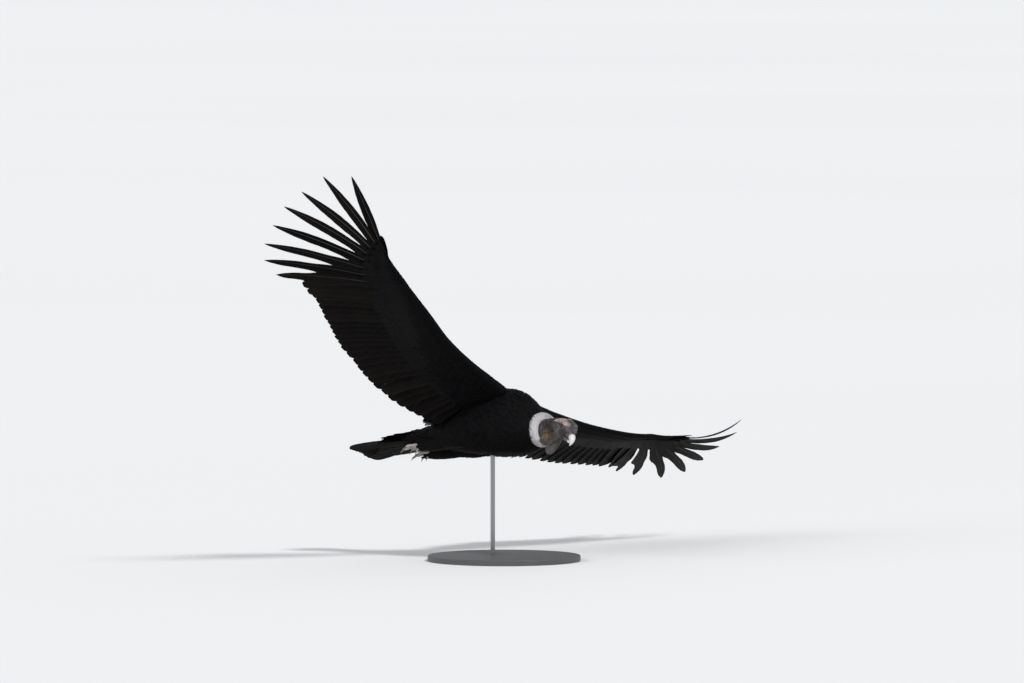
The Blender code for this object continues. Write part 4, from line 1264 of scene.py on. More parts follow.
# %% Finish of flight feathers
def plumage_finish(name, dark, brown, white, barb):
    made = Finish(name)
    along, across, tone = made.kept("lie")
    pale, share, edge = made.kept("marks")
    barbs = ((along + across.size() * -1.15) * (2 * math.pi / barb)).wave()
    clumps = made.spots(95, 3)
    streak = made.streaks((along - across.size() * 1.15) * 210, across * 14, tone * 40)
    fade = edge.power(5) * 0.40 + share.power(8) * 0.25
    fade = (fade + (tone - 0.5) * 0.35 + (streak - 0.5) * 1.1 + 0.22).clamped()
    ink = (pale + (streak - 0.5) * 0.5 * pale).clamped()
    black = made.mix(fade, dark, brown)
    pale_grey = made.mix(streak, white, tuple(v * 0.72 for v in white))
    made.surface(
        base_color=made.mix(ink, black, pale_grey),
        roughness=0.50 + fade * 0.16 + (clumps - 0.5) * 0.16,
        normal=made.bump(barbs * 0.25 + streak * 0.75, 0.00018),
        specular_ior_level=0.02,
    )
    return made.material


flight_finish = plumage_finish(
    "flight_feathers", (0.0024, 0.0023, 0.0027), (0.015, 0.0120, 0.0098), (0.50, 0.50, 0.51), 0.0013
)
flight(1, flight_finish, "flight_feathers_left", ("wing_left",))
flight(-1, flight_finish, "flight_feathers_right", ("wing_right",))

# %% [markdown]
# ## Coverts of the wings
# Rows of smaller feathers cover the roots of the flight feathers on both sides. The longest lie at the
# back, three rows above and three below, and point the way of the flight feathers that they cover.

# %% Long coverts
EVEN_SPREAD = (-1, -0.5, 0, 0.5, 1)
COVERT_NET = ((0.0, 0.16, 0.45, 0.75, 0.93, 1.0), (0.30, 0.80, 1.0, 0.92, 0.62, 0.12), EVEN_SPREAD)
COVERT_WHITE = np.array((0.0, 0.25, 1.0, 0.97, 0.64, 0.15))
COVERT_HALF = ((0.15, 0.8, 0.9, 1.06), (0.030, 0.029, 0.021, 0.016))
UNDER_WHITE = 0.006


def long_coverts(plumage, side, noise_of):
    wing = wings[side]
    number = SECONDARIES + PRIMARIES
    outer = np.arange(number) - SECONDARIES
    hand_sag = np.array(PRIMARY_SAG[side])[np.maximum(outer, 0)]
    flight_sag = np.where(outer < 0, FOREARM_SAG, hand_sag)[:, None]
    first, last = wing["ups"]
    span, y = wing["tip"] - wing["root"], wing["root"][:, 1]
    for level, reach in ((1, 0.42), (-1, 0.34)):
        for row in range(3):
            part = (reach * (1, 0.72, 0.50)[row] * np.where(outer < 0, 1.0, 0.74))[:, None]
            up = unit(first * (1 - part / 2) + last * part / 2)
            lift = up * level * (np.minimum(0.0090, 0.34 * wing["thick"]) + 0.0030 * row)[:, None]
            end = wing["root"] + span * part - up * flight_sag * 4 * part * (1 - part) + lift
            end = end + np.gradient(end, axis=0) * (0.5 if row % 2 else 0.0)
            end = end + noise_of.uniform(-1, 1, (number, 3)) * (0.003, 0.002, 0.0)
            start = wing["cover"] + lift * 0.9 - unit(span) * 0.010 * row
            twist = unit(first * (1 - part) + last * part)
            white = panel(y) * (1, 0.9, 0)[row] if level > 0 else np.full(number, UNDER_WHITE)
            half = np.interp(y, *COVERT_HALF)[:, None] * (1, 0.86, 0.72)[row]
            for shift in (0, 1) if row else (0,):
                aside = np.gradient(start, axis=0) * 0.5 * shift
                places = spots_on_map(y / 1.2 + 0.012 * shift, 0.30 + 0.06 * row + 0.35 * (level < 0))
                plumage.row(
                    COVERT_NET, side, start + aside, end + aside, (first, twist), half, places, noise_of,
                    cup=0.10 * level, roll=SHINGLE * 0.6, thick=0.0007, ragged=0.06,
                    white=white[:, None, None] * COVERT_WHITE[None, :, None],
                )


print("coverts in a long row:", SECONDARIES + PRIMARIES)

# %% [markdown]
# Five feathers with pale tips fill the gap between the wing and the trunk. They fan out from the innermost
# stretch of the arm.

# %% Innermost feathers of the wing
INNERMOST = [
    (0.088, -0.316, 0.018),
    (0.106, -0.312, 0.022),
    (0.124, -0.302, 0.022),
    (0.142, -0.287, 0.018),
    (0.160, -0.266, 0.010),
]


def innermost_feathers(plumage, side, noise_of):
    count = len(INNERMOST)
    frames = [chord_frame(y, side) for y, x, z in INNERMOST]
    root = np.array([front + way * 0.130 + up * 0.004 for front, way, up in frames])
    tip = np.array([(x, y + 0.008, z) for y, x, z in INNERMOST])
    ups = ([up for front, way, up in frames], np.tile((0, 0.35, 1), (count, 1)))
    widths = read(PLAIN_WIDTHS, FLIGHT_STATIONS) * 0.95
    places = [(0.05 + 0.03 * i, 0.93) for i in range(count)]
    pale_tip = smooth_step(0.90, 0.99, FLIGHT_STATIONS)[None, :, None]
    plumage.add(
        side, root, tip, ups, widths[:, 0], widths[:, 1], FLIGHT_STATIONS, EVEN_SPREAD, (places, ONE_PATCH),
        cup=0.12, roll=SHINGLE, sag=-0.016, thick=0.0008, ragged=0.05, noise=noise_of,
        tone=noise_of.uniform(0, 1, count), white=pale_tip * np.array((0.8, 0.5, 0, 0, 0))[:, None, None],
    )


print("innermost feathers of each wing:", len(INNERMOST))

# %% [markdown]
# The smallest feathers tile the arm from its front edge back, like scales. Each row starts a little further
# back, is longer than the last one, and turns gradually into the way of the flight feathers.

# %% Small coverts, and all coverts of a wing
SMALL_NET = ((0.0, 0.35, 0.68, 0.88, 0.97, 1.0), (0.35, 0.92, 1.0, 0.78, 0.42, 0.08), EVEN_SPREAD)
SMALL_ROWS = (0.0, 0.02, 0.06, 0.11, 0.17, 0.24, 0.32, 0.41, 0.51, 0.62, 0.73)
SMALL_INSET = 0.0035


def lean_of_feathers(side, y):
    """How far the flight feathers lean outwards, at distances from the body."""
    wing = wings[side]
    ways = unit(wing["tip"] - wing["root"])
    ways = unit(np.stack([np.interp(y, wing["root"][:, 1], ways[:, i]) for i in range(3)], -1))
    return np.arcsin(np.clip(ways[:, 1], 0, 0.9))


def upward(a, b, level):
    """The normal of two ways, on the upper (1) or the lower side (-1)."""
    normal = unit(np.cross(a, b))
    return normal * np.where(dot(normal, (0, 0, level)) < 0, -1, 1)


def small_coverts(plumage, side, level, k, noise_of):
    """One row of small feathers along the arm."""
    share = SMALL_ROWS[k]
    length = np.interp(share, (0, 0.2, 0.6), (0.020, 0.032, 0.056))
    step = np.interp(share, (0, 0.2, 0.6), (0.0085, 0.0120, 0.0190))
    ys = np.arange(0.070 + step * 0.5 * (k % 2), HAND_END - 0.012, step)
    ys = ys + noise_of.uniform(-0.2, 0.2, len(ys)) * step
    shrink = np.interp(ys, (0.07, 0.8, 1.06), (1.0, 0.85, 0.60))
    reach = length * shrink * noise_of.uniform(0.9, 1.15, len(ys))
    lean = lean_of_feathers(side, ys) * 0.7 + noise_of.uniform(-0.12, 0.12, len(ys))
    down = reach * np.cos(lean) / read(ARM, ys)[:, 0]
    aside = reach * np.sin(lean)

    def on_arm(part):
        places = zip(ys + aside * part, share + down * part)
        return np.array([arm_point(min(y, HAND_END), at, level, side, SMALL_INSET) for y, at in places])

    base, middle, tip = on_arm(0.0), on_arm(0.5), on_arm(1.0)
    next_out = np.array([arm_point(y + 0.01, share, level, side, SMALL_INSET) for y in ys]) - base
    up = upward(next_out, on_arm(0.2) - base, level)
    tip_up = upward(next_out, on_arm(1.1) - on_arm(0.9), level)
    tip = tip + tip_up * np.interp(share, (0, 0.1, 0.5), (0.0014, 0.0022, 0.0036))
    sag = -dot(middle - (base + tip) / 2, unit(up + tip_up))[:, 0] - 0.0010
    half = (step * 0.95 * np.maximum(shrink, 0.8) * noise_of.uniform(0.85, 1.2, len(ys)))[:, None]
    places = spots_on_map(ys / 1.2, 0.05 + 0.3 * share + 0.5 * (level < 0))
    plumage.row(
        SMALL_NET, side, base - up * 0.0015, tip, (up, tip_up), half, places, noise_of,
        cup=0.12, sag=sag, thick=0.0006, ragged=0.08,
    )


def coverts(side, finish, name):
    plumage, noise_of = Plumage(), np.random.default_rng(61 + side)
    long_coverts(plumage, side, noise_of)
    innermost_feathers(plumage, side, noise_of)
    for level in (1, -1):
        for k in range(len(SMALL_ROWS)):
            small_coverts(plumage, side, level, k, noise_of)
    plumage.piece(name, finish, "feathers")


coat_finish = plumage_finish(
    "small_feathers", (0.0024, 0.0024, 0.0032), (0.0085, 0.0074, 0.0072), (0.54, 0.54, 0.55), 0.0015
)
coverts(1, coat_finish, "coverts_left")
coverts(-1, coat_finish, "coverts_right")

# %% [markdown]
# ## Tail feathers
# Twelve broad feathers spread a little and step down from the middle pair outwards. They are made like the
# wings' feathers, with a shaft each.

# %% Make the tail
TAIL_WIDTHS = [
    (0.0, 0.008, 0.007),
    (0.25, 0.021, 0.018),
    (0.6, 0.030, 0.026),
    (0.86, 0.031, 0.027),
    (0.92, 0.028, 0.024),
    (0.96, 0.021, 0.018),
    (0.985, 0.012, 0.010),
    (1.0, 0.002, 0.002),
]
tail_noise = np.random.default_rng(11)
tail = Plumage()
tail_ups = (np.array([[0, 0, 1.0]]),) * 2
tail_widths = read(TAIL_WIDTHS, FLIGHT_STATIONS)
for k in range(6):
    share = (k + 0.5) / 5.5
    for side in (1, -1):
        level = 0.001 - 0.0030 * k - (0.0016 if side < 0 else 0.0)
        tip_x = -0.703 + 0.035 * share**2 + 0.007 * tail_noise.uniform(-1, 1)
        tip_y = 0.084 * share
        root = np.array([(-0.395, 0.038 * share, level)])
        tip = np.array([(tip_x, tip_y, -0.030 + level + 0.06 * tip_y * side)])
        slot = 2 * k + (side < 0)
        u, v = slot % 4 / 4 + 0.125, slot // 4 / 3 + 0.16
        shape = dict(sag=-0.006, tone=tail_noise.uniform(0, 1))
        tail.add(
            side, root, tip, tail_ups, tail_widths[:, 0], tail_widths[:, 1], FLIGHT_STATIONS, FLIGHT_SPREAD,
            ([(u, v)], (0.2, 0.3)), cup=0.03, thick=0.0008, walls=True, ragged=0.04, noise=tail_noise,
            sweep=0.2, **shape
        )
        shafts(tail, side, root, tip, tail_ups, 0.0020, ([(u + 0.108, v)], (0.004, 0.3)), **shape)
print("tail feathers: 6 on each side")

# %% [markdown]
# Rows of coverts hide where the tail feathers start: three rows above, three below, and four more that
# carry the belly's coat over to the tail.

# %% Coverts of the tail
for level, height, length in ((1, 0.0085, 0.135), (-1, -0.0225, 0.150)):
    for row in range(3):
        count = 7 + row
        across = np.linspace(-1, 1, count) + tail_noise.uniform(-0.05, 0.05, count)
        reach = length * (1, 0.72, 0.46)[row] * (1 - 0.2 * np.abs(across))
        reach = reach * tail_noise.uniform(0.94, 1.06, count)
        z = height + 0.0012 * (np.arange(count) % 2) * level + 0.0020 * row * level
        start = np.stack([np.full(count, -0.385 + 0.012 * row), 0.042 * across, z], -1)
        end = np.stack([-0.440 - reach, 0.058 * across, z - 0.020 * reach / length], -1)
        ups = (np.repeat(tail_ups[0], count, 0),) * 2
        places = spots_on_map(0.52 + across * 0.4, 0.90 + 0.02 * row + 0.06 * (level < 0))
        tail.row(
            COVERT_NET, 1, start, end, ups, 0.0175 * (1, 0.9, 0.8)[row], places, tail_noise,
            cup=0.15 * level, thick=0.0007, ragged=0.08,
        )
for row, start_x in enumerate((-0.240, -0.268, -0.296, -0.322)):
    count = 8 + row % 2
    across = np.linspace(-1, 1, count)
    low = read(TORSO, start_x)[2]
    start_z = -(low - 0.007) * np.sqrt(1 - 0.45 * across**2)
    start = np.stack([np.full(count, start_x), 0.050 * across, start_z], -1)
    reach = 0.130 * tail_noise.uniform(0.85, 1.1, count)
    end_z = -0.047 + 0.006 * across**2 + 0.004 * row + tail_noise.uniform(-0.002, 0.002, count)
    end = np.stack([start_x - reach, 0.052 * across, end_z], -1)
    down_way = np.stack([0 * across, 0.6 * across, -1 + 0 * across], -1)
    places = spots_on_map(0.52 + across * 0.4, 0.80 + 0.02 * row)
    tail.row(
        COVERT_NET, 1, start, end, (down_way, down_way), 0.0160, places, tail_noise,
        cup=0.15, sag=-0.003, thick=0.0007, ragged=0.10,
    )
tail.piece("tail_feathers", flight_finish, "feathers", ("tail",))

# %% [markdown]
# ## The coat of the body
# Small feathers lie over the trunk like tiles, from the neck back to the tail. Rows are set round the trunk
# with a half step between them. Each root sits on the skin and each tip just under the surface of the
# solids, so that the coat adds nothing to the bird's size.

# %% Feathers of the trunk
BODY = [
    (-0.460, 0.046, 0.010, 0.018),
    (-0.420, 0.058, 0.022, 0.020),
    (-0.380, 0.056, 0.034, 0.020),
] + TORSO
BODY_X = (-0.4, 0.0, 0.19)


def body_point(x, angle, inset):
    """A point inside the trunk's solid, where the angle runs from the left side over the back."""
    x, angle = np.asarray(x, float), np.asarray(angle, float)
    w, top, low = np.moveaxis(read(BODY, x), -1, 0)
    height = np.where(np.sin(angle) > 0, top, low) - inset
    return np.stack([x, (w - inset) * np.cos(angle), height * np.sin(angle)], -1)


def round_places(count, row, jitter, noise_of):
    """Angles all round a body, a half step apart from row to row."""
    steps = np.arange(count) + 0.5 * (row % 2) + noise_of.uniform(-jitter, jitter, count)
    return 2 * math.pi * steps / count


def trunk_coat():
    plumage, noise_of = Plumage(), np.random.default_rng(77)
    x, row = 0.190, 0
    while x > -0.425:
        w, top, low = read(BODY, x)
        around = math.pi * (w + (top + low) / 2)
        count = max(14, int(around / np.interp(x, BODY_X, (0.0144, 0.0154, 0.0088))))
        angle = round_places(count, row, 0.32, noise_of)
        at = x + noise_of.uniform(-0.0045, 0.0045, count)
        length = np.interp(x, (-0.42, -0.30, 0.05, 0.19), (0.066, 0.052, 0.040, 0.022))
        length = length * noise_of.uniform(0.85, 1.2, count)
        root = body_point(at, angle, COAT_DEPTH + 0.0005)
        near = body_point(at - 0.004, angle, COAT_DEPTH)
        aside = body_point(at, angle + 0.02, COAT_DEPTH)
        way = unit(near - root)
        up = unit(np.cross(aside - root, way))
        up = np.where(dot(up, root * (0, 1, 1)) < 0, -up, up)
        goal = np.maximum(at - length * np.abs(way[:, 0]), BODY[0][0])
        tip_angle = angle + noise_of.uniform(-0.05, 0.05, count)
        tip = body_point(goal, tip_angle, noise_of.uniform(0.0005, 0.0030, count))
        half = np.interp(x, (-0.4, 0.05, 0.19), (0.0140, 0.0130, 0.0078))
        half = half * noise_of.uniform(0.8, 1.25, count)[:, None]
        places = spots_on_map(0.02 + 0.96 * angle / (2.1 * math.pi), 0.02 + 0.96 * (0.19 - x) / 0.63)
        plumage.row(
            SMALL_NET, 1, root, tip, (up, unit(tip * (0, 1, 1))), half, places, noise_of,
            cup=0.12, sag=-0.0012, thick=0.0005, ragged=0.14,
        )
        x -= np.interp(x, BODY_X, (0.0125, 0.0125, 0.0070))
        row += 1
    plumage.piece("trunk_coat", coat_finish, "feathers")
    print("rows of feathers round the trunk:", row)


trunk_coat()

# %% [markdown]
# The thighs have the same tiled coat. Behind them longer feathers reach back and half hide the feet.

# %% Feathers of the thighs
THIGH_ENDS = (-0.086, -0.312)
THIGH_STEP = 0.0105


def thigh_point(x, angle, inset):
    y, z, w, h = np.moveaxis(read(THIGH[::-1], x), -1, 0)
    return np.stack([x, y + (w - inset) * np.cos(angle), z + (h - inset) * np.sin(angle)], -1)


def outwards(angle):
    return unit(np.stack([np.zeros(len(angle)), np.cos(angle), np.sin(angle)], -1))


def thigh_coat():
    plumage, noise_of = Plumage(), np.random.default_rng(79)
    for side in (1, -1):
        map_place = 0.25 + 0.4 * (side < 0)
        for row, x in enumerate(np.arange(*THIGH_ENDS, -THIGH_STEP)):
            y, z, w, h = read(THIGH[::-1], x)
            count = max(10, int(math.pi * (w + h) / 0.0115))
            angle = round_places(count, row, 0.2, noise_of)
            here = np.full(count, x)
            length = 0.046 * noise_of.uniform(0.85, 1.2, count)
            root = thigh_point(here, angle, 0.0055)
            tip = thigh_point(np.maximum(here - length, -0.318), angle, noise_of.uniform(0.0, 0.002, count))
            tip[:, 0] = np.minimum(tip[:, 0], here - length * 0.8)
            up = outwards(angle)
            half = 0.0095 * noise_of.uniform(0.9, 1.15, count)[:, None]
            places = spots_on_map(map_place + 0.18 * angle / math.pi, 0.05 - 3.8 * (x + 0.08))
            plumage.row(
                SMALL_NET, side, root, tip, (up, up), half, places, noise_of,
                cup=0.16, sag=-0.0010, thick=0.0005, ragged=0.14,
            )
        for row, start_x in enumerate((-0.225, -0.252, -0.280)):
            count = 13
            angle = np.linspace(-3.0, 0.9, count) + 0.12 * (row % 2) + noise_of.uniform(-0.08, 0.08, count)
            root = thigh_point(np.full(count, start_x), angle, 0.004)
            reach = (0.118 if side > 0 else 0.082) * noise_of.uniform(0.88, 1.12, count)
            width = 0.021 - 0.003 * row
            tip_y, tip_z = 0.046 + width * np.cos(angle), -0.050 + width * np.sin(angle)
            tip = np.stack([start_x - reach, tip_y, tip_z], -1)
            up = outwards(angle)
            places = spots_on_map(map_place + 0.05 * angle, 0.95 + 0.01 * row)
            plumage.row(
                SMALL_NET, side, root, tip, (up, up), 0.0105, places, noise_of,
                cup=0.16, sag=-0.0025, thick=0.0005, ragged=0.14,
            )
    plumage.piece("thigh_coat", coat_finish, "feathers")


thigh_coat()

# %% [markdown]
# ## The ruff
# A collar of short, dense white down closes the feathered body off from the bare neck. Each tuft is a thin,
# soft, slightly curled blade. Thousands of them overlap on a ring, the inner rows leaning towards the head.

# %% Make the ruff
RUFF_CENTRE = np.array((0.184, -0.008, 0.000))
RUFF_FACES = unit((0.94, -0.29, -0.17))
RUFF_FIRST = unit(np.cross(RUFF_FACES, UP))
RUFF_SECOND = np.cross(RUFF_FACES, RUFF_FIRST)
RUFF_RADIUS = 0.048
ROLL_OUT, ROLL_ALONG = 0.013, 0.019
DOWN_NET = ((0.0, 0.3, 0.6, 0.85, 1.0), (0.7, 1.0, 0.85, 0.5, 0.08), (-1, 0, 1))
TUFTS_IN_ROW = 205


def ruff_down():
    plumage, noise_of = Plumage(), np.random.default_rng(23)
    rows = np.linspace(-0.75, 2.35, 30)
    count = TUFTS_IN_ROW
    for row, lean in enumerate(rows):
        angle = round_places(count, 0, 0.9, noise_of)
        out = RUFF_FIRST * np.cos(angle)[:, None] + RUFF_SECOND * np.sin(angle)[:, None]
        about = np.cross(RUFF_FACES, out)
        turn = (lean + noise_of.uniform(-0.10, 0.10, count))[:, None]
        along = RUFF_FACES * ROLL_ALONG * np.sin(turn)
        core = RUFF_CENTRE + out * (RUFF_RADIUS + ROLL_OUT * np.cos(turn)) + along
        rise = unit(out * np.cos(turn) * ROLL_ALONG + RUFF_FACES * np.sin(turn) * ROLL_OUT)
        over = np.cross(rise, about)
        swing = noise_of.normal(0, 0.55, (count, 1))
        lay = over * np.cos(swing) + about * np.sin(swing)
        way = unit(lay + rise * noise_of.uniform(0.30, 0.75, (count, 1)))
        tip = core + way * noise_of.uniform(0.0080, 0.0135, (count, 1))
        up = unit(rise + noise_of.uniform(-0.6, 0.6, (count, 3)))
        half = noise_of.uniform(0.0008, 0.0015, (count, 1))
        places = spots_on_map(0.02 + 0.96 * angle / (2.02 * math.pi), 0.05 + 0.9 * row / len(rows))
        plumage.row(
            DOWN_NET, 1, core - rise * 0.002, tip, (up, up), half, places, noise_of,
            cup=0.2, thick=0.0005,
            sag=noise_of.uniform(-0.0030, -0.0002, count), bow=noise_of.uniform(-0.002, 0.002, count),
        )
    return plumage


down = Finish("white_down")
down_tone, down_share = down.kept("lie")[2], down.kept("marks")[1]
# The down is greyer at random and towards the roots of its tufts.
down_greying = (down_tone * 0.5 + down.spots(70, 2) * 0.6 + (1 - down_share) * 0.35).clamped()
down.surface(
    base_color=down.mix(down_greying, (0.90, 0.89, 0.90), (0.74, 0.72, 0.73)),
    roughness=0.85 + (down_tone - 0.5) * 0.1,
    specular_ior_level=0.2,
    sheen_weight=0.25,
)
ruff_down().piece("ruff_down", down.material, "down", crisp=None)

# %% [markdown]
# Under the tufts lies a plain ring, so that no gap between them shows the neck. Its UV map is worked out
# from the order of its points: each stretch of the ring and each step round its thickness gets its own
# place.

# %% The ring under the ruff
AROUND, OVER = 64, 16
points, faces = [], []
for i in range(AROUND):
    a = 2 * math.pi * i / AROUND
    out = RUFF_FIRST * math.cos(a) + RUFF_SECOND * math.sin(a)
    for j in range(OVER):
        turn = 2 * math.pi * j / OVER
        along = RUFF_FACES * ROLL_ALONG * math.sin(turn)
        points.append(RUFF_CENTRE + out * (RUFF_RADIUS + ROLL_OUT * math.cos(turn)) + along)
        here, next_ring, next_j = i * OVER, (i + 1) % AROUND * OVER, (j + 1) % OVER
        faces.append((here + j, here + next_j, next_ring + next_j, next_ring + j))
core = closed_object("ruff_core", points, faces)
corners = np.array([list(face.vertices) for face in core.data.polygons])
flat = []
for steps, number in ((corners // OVER, AROUND), (corners % OVER, OVER)):
    closing = (steps == 0) & (steps.max(1, keepdims=True) == number - 1)
    flat.append(np.where(closing, number, steps) / number)
unwrap(core, np.stack(flat, -1))
for key in ("lie", "marks"):
    keep_values(core, key, np.full(len(points) * 3, 0.5))
finished(core, down.material, ("ruff",))

# %% [markdown]
# ## The bill
# The hooked bill is dark grey where it leaves the fleshy base and ivory white at the hook. It is lofted in
# the head's frame, the upper half with a keeled top and a sharp lower edge that overlaps the lower half.

# %% Make both halves of the bill
def bill_ring(x, z, w, h, slope, under):
    """A ring with flat sides; under is how full it is below."""
    angle = 2 * math.pi * np.arange(48) / 48
    c, s = np.cos(angle), np.sin(angle)
    across = w * np.sign(c) * np.abs(c) ** 0.9
    height = np.where(s > 0, h * np.abs(s) ** 1.1, -h * under * np.abs(s) ** 0.8)
    return np.stack([x + height * math.sin(slope), across, z + height * math.cos(slope)], -1)


def bill(name, table, under):
    """Half of the bill, which starts inside the flesh of its base."""
    rows = [(k, *row) for k, row in enumerate(table)]
    x, z, w, h, slope = table[0]
    rings = [in_head(bill_ring(x - 0.007, z, w * 0.96, h * 0.96, slope, under))]
    for k in np.linspace(0, len(rows) - 1, 44):
        rings.append(in_head(bill_ring(*read(rows, k), under)))
    made = loft(name, rings)
    keep_values(made, "place", to_head(points_of(made)))
    return made


horn = Finish("bill_horn")
forward, sideways, height = horn.kept("place")
grain = horn.streaks(forward * 60, sideways * 400, height * 400)
cloud = horn.spots(90, 3)
ivory = ((forward - 0.073) * 80 + (cloud - 0.5) * 1.4).clamped()
dark_horn = horn.mix(grain, (0.045, 0.04, 0.04), (0.13, 0.115, 0.11))
pale_horn = horn.mix(grain, (0.66, 0.65, 0.645), (0.48, 0.455, 0.425))
horn.surface(
    base_color=horn.mix(ivory, dark_horn, pale_horn),
    roughness=0.30 + grain * 0.18,
    normal=horn.bump(grain * 0.5 + cloud * 0.3, 0.0004),
    specular_ior_level=0.5,
)
upper = bill("bill_upper_horn", UPPER_BILL, 0.92)
carved(upper, [nostril()])
finished(upper, horn.material, ("bill_upper",))
finished(bill("bill_lower_horn", LOWER_BILL, 1.0), horn.material, ("bill_lower",))

# %% [markdown]
# ## The eyes
# Each eye is a ball in its socket, with a brown iris round a black pupil under a clear, glossy surface. The
# rings of colour come from the distance to the point that the eye looks at.

# %% Make the eyes
def eyeball(side, name):
    """A ball that faces outwards, with the distance from its middle kept at each point."""
    centre = in_head(EYE_PLACE * (1, side, 1))
    facing = unit((0.60, side, 0.05)) @ HEAD_AXES
    across = unit(np.cross(facing, UP))
    axes = np.stack([facing, across, np.cross(facing, across)])
    made = ball(name, centre, (EYE_RADIUS,) * 3, axes, rows=24)
    off = points_of(made) - centre
    ring = np.linalg.norm(np.cross(off, facing), axis=1) / EYE_RADIUS
    ring = np.where(off @ facing > 0, ring, 1)
    keep_values(made, "ring", np.stack([ring, ring, ring], 1))
    return made


for side, name in ((1, "left"), (-1, "right")):
    look = Finish("eye_" + name)
    ring = look.kept("ring")[0]
    brown = look.mix(look.spots(900, 2), (0.060, 0.022, 0.010), (0.020, 0.008, 0.005))
    iris = look.mix(((ring - 0.64) * 12).clamped(), brown, (0.02, 0.014, 0.012))
    look.surface(
        base_color=look.mix(((0.42 - ring) * 30).clamped(), iris, (0.002, 0.002, 0.002)),
        roughness=0.05 + ring * 0.02,
        specular_ior_level=0.25,
        coat_weight=0.6,
        coat_roughness=0.02,
    )
    finished(eyeball(side, "eyeball_" + name), look.material, ("eye_" + name,))

# %% [markdown]
# ## Feet
# The feet are held back under the tail, with the toes half closed. Shank and toes are one skin of grey
# scales with knuckles. The blunt, curved claws are pieces of their own.

# %% Make feet and claws
ANKLE, PALM = np.array((-0.3104, 0.046, -0.041)), np.array((-0.352, 0.045, -0.048))
TOES = [
    ((-0.346, 0.045, -0.048), (-0.440, 0.041, -0.055), 0.0085, 0.004),
    ((-0.346, 0.051, -0.048), (-0.414, 0.064, -0.053), 0.0075, 0.004),
    ((-0.346, 0.039, -0.048), (-0.414, 0.022, -0.053), 0.0075, 0.004),
    ((-0.344, 0.044, -0.053), (-0.380, 0.038, -0.066), 0.0060, 0.002),
]
KNUCKLES = [(0, 1.0), (0.22, 0.82), (0.40, 0.98), (0.60, 0.74), (0.80, 0.88), (0.95, 0.66), (1.0, 0.50)]
CLAW = [
    (0.93, 0.001, 0.52),
    (1.01, 0.003, 0.54),
    (1.07, 0.0060, 0.46),
    (1.12, 0.0105, 0.34),
    (1.145, 0.0160, 0.14),
]


def toe_centre(start, end, arch, t):
    along = unit(end - start)
    up = np.cross(unit(np.cross(along, UP)), along)
    return start + (end - start) * t + up * arch * 4 * t * (1 - t), up


def claw(start, end, thick, arch, side):
    """A curved claw that grows out of the end of a toe."""
    rings = []
    across = unit(np.cross(end - start, UP))
    for k in np.linspace(0, len(CLAW) - 1, 20):
        at, fall, share = read([(i, *row) for i, row in enumerate(CLAW)], k)
        centre, up = toe_centre(start, end, arch if at < 1 else 0, at)
        size = thick * share
        rings.append(mirrored(oval(centre - up * fall, across, up, size * 0.85, size, size, 16), side))
    return loft("claw", rings)


scales = Finish("leg_skin")
cells = scales.node("TexVoronoi", {"feature": "DISTANCE_TO_EDGE"}, scales.place(), scale=430.0)
dust = scales.spots(120, 3)
groove = (cells * 9).clamped()
scales.surface(
    base_color=scales.mix(groove * 0.4 + dust * 0.6, (0.20, 0.175, 0.165), (0.44, 0.405, 0.385)),
    roughness=0.55 + dust * 0.2,
    normal=scales.bump(groove, 0.0006),
)
steps = np.linspace(0, 1, 24)
for side, name in ((1, "left"), (-1, "right")):
    path = [ANKLE + (PALM - ANKLE) * t for t in (0, 0.25, 0.5, 0.75, 1.0)]
    parts = [tube("shank", mirrored(path, side), (0.0125, 0.0105, 0.0100, 0.0110, 0.0122), 24)]
    claws = []
    for start, end, thick, arch in TOES:
        start, end = np.array(start), np.array(end)
        centres = [toe_centre(start, end, arch, t)[0] for t in steps]
        parts.append(tube("toe", mirrored(centres, side), thick * read(KNUCKLES, steps)[:, 0], 16, 0.95))
        claws.append(claw(start, end, thick, arch, side))
    foot = melted("foot_skin_" + name, parts, 0.0011, 3)
    finished(foot, scales.material, ("foot_" + name,))
    nails = joined("claws_" + name, claws)
    keep_values(nails, "place", points_of(nails) * 0.3)
    finished(nails, horn.material)

# %% [markdown]
# ## The stand
# Rod and base keep the shapes of the solids. The rod is brushed steel, the base a board painted dark grey
# with a fine grain.

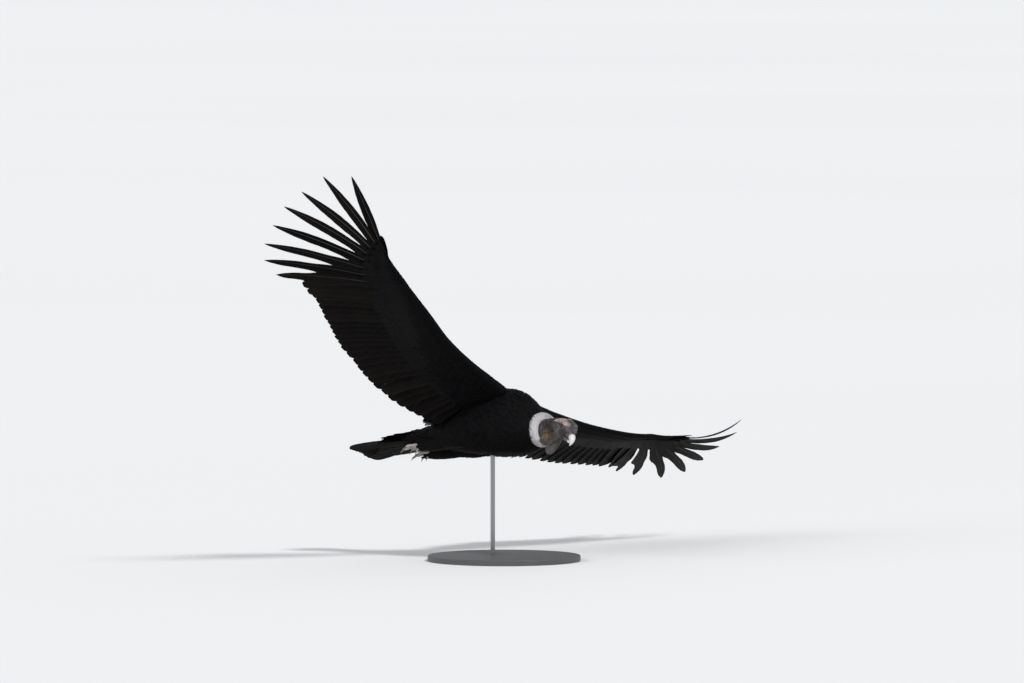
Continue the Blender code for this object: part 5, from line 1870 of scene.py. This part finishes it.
# %% Finish the stand
steel = Finish("brushed_steel")
brushed = steel.node("Mapping", {}, steel.place(), scale=(900.0, 900.0, 12.0))
brush = steel.node("TexNoise", {}, brushed, scale=1.0, detail=2.0)
steel.surface(
    base_color=steel.mix(brush, (0.26, 0.26, 0.27), (0.44, 0.44, 0.45)),
    metallic=1.0,
    roughness=0.26 + brush * 0.16,
    normal=steel.bump(brush, 0.00005),
)
board = Finish("painted_board")
grain = board.spots(700, 3)
cloud = board.spots(14, 3)
board.surface(
    base_color=board.mix(cloud * 0.6 + grain * 0.4, (0.050, 0.050, 0.052), (0.085, 0.085, 0.086)),
    roughness=0.46 + cloud * 0.12,
    normal=board.bump(grain, 0.0002),
)
for name, finish in (("stand_rod", steel.material), ("stand_base", board.material)):
    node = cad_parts[name]
    node.data.materials.clear()
    node.data.materials.append(finish)
print("stand finished")

# %% [markdown]
# ## Floor and light
# A plain pale floor runs far behind the bird, because the camera looks along it. Soft light from above and
# from the camera's side shows the black coat, and the floor throws some back at the wings' undersides.

# %% Floor, world and lights
bpy.ops.mesh.primitive_plane_add(size=900)
floor = bpy.context.object
floor.name = "floor"
ground = Finish("pale_floor")
patch = ground.spots(0.08, 2)
ground.surface(
    base_color=ground.mix(patch, (0.66, 0.665, 0.67), (0.70, 0.70, 0.70)),
    roughness=0.9 + patch * 0.05,
    specular_ior_level=0.1,
)
floor.data.materials.append(ground.material)
floor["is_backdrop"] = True

world = bpy.data.worlds.new("studio")
bpy.context.scene.world = world
world.use_nodes = True
sky = world.node_tree.nodes["Background"].inputs
sky["Color"].default_value = (0.93, 0.96, 1.0, 1)
sky["Strength"].default_value = 0.55


def sun(name, strength, turn, height, softness):
    """A soft sun, its turn counted from the camera's side; all angles are in degrees."""
    lamp = bpy.data.lights.new(name, "SUN")
    lamp.energy, lamp.angle = strength, math.radians(softness)
    made = bpy.data.objects.new(name, lamp)
    bpy.context.scene.collection.objects.link(made)
    toward = way_to(AZIMUTH + math.radians(turn), math.radians(height))
    made.rotation_euler = toward.to_track_quat("Z", "Y").to_euler()
    return made


sun("key", 2.4, 40, 48, 10)
sun("fill", 1.7, -55, 22, 40).visible_glossy = False
bpy.context.scene.view_settings.view_transform = "Standard"
print("floor and lights ready")

# %% [markdown]
# ## Sizes
# The box of the solids and the box of the dressed bird are printed side by side. The
# feathers must stay within the solids' box but for a little.

# %% Write the sizes and finish
visual_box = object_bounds()
for name, box in (("solids", cad_box), ("dressed", visual_box)):
    print(name, [round(v * 1000, 1) for v in box[0]], [round(v * 1000, 1) for v in box[1]])
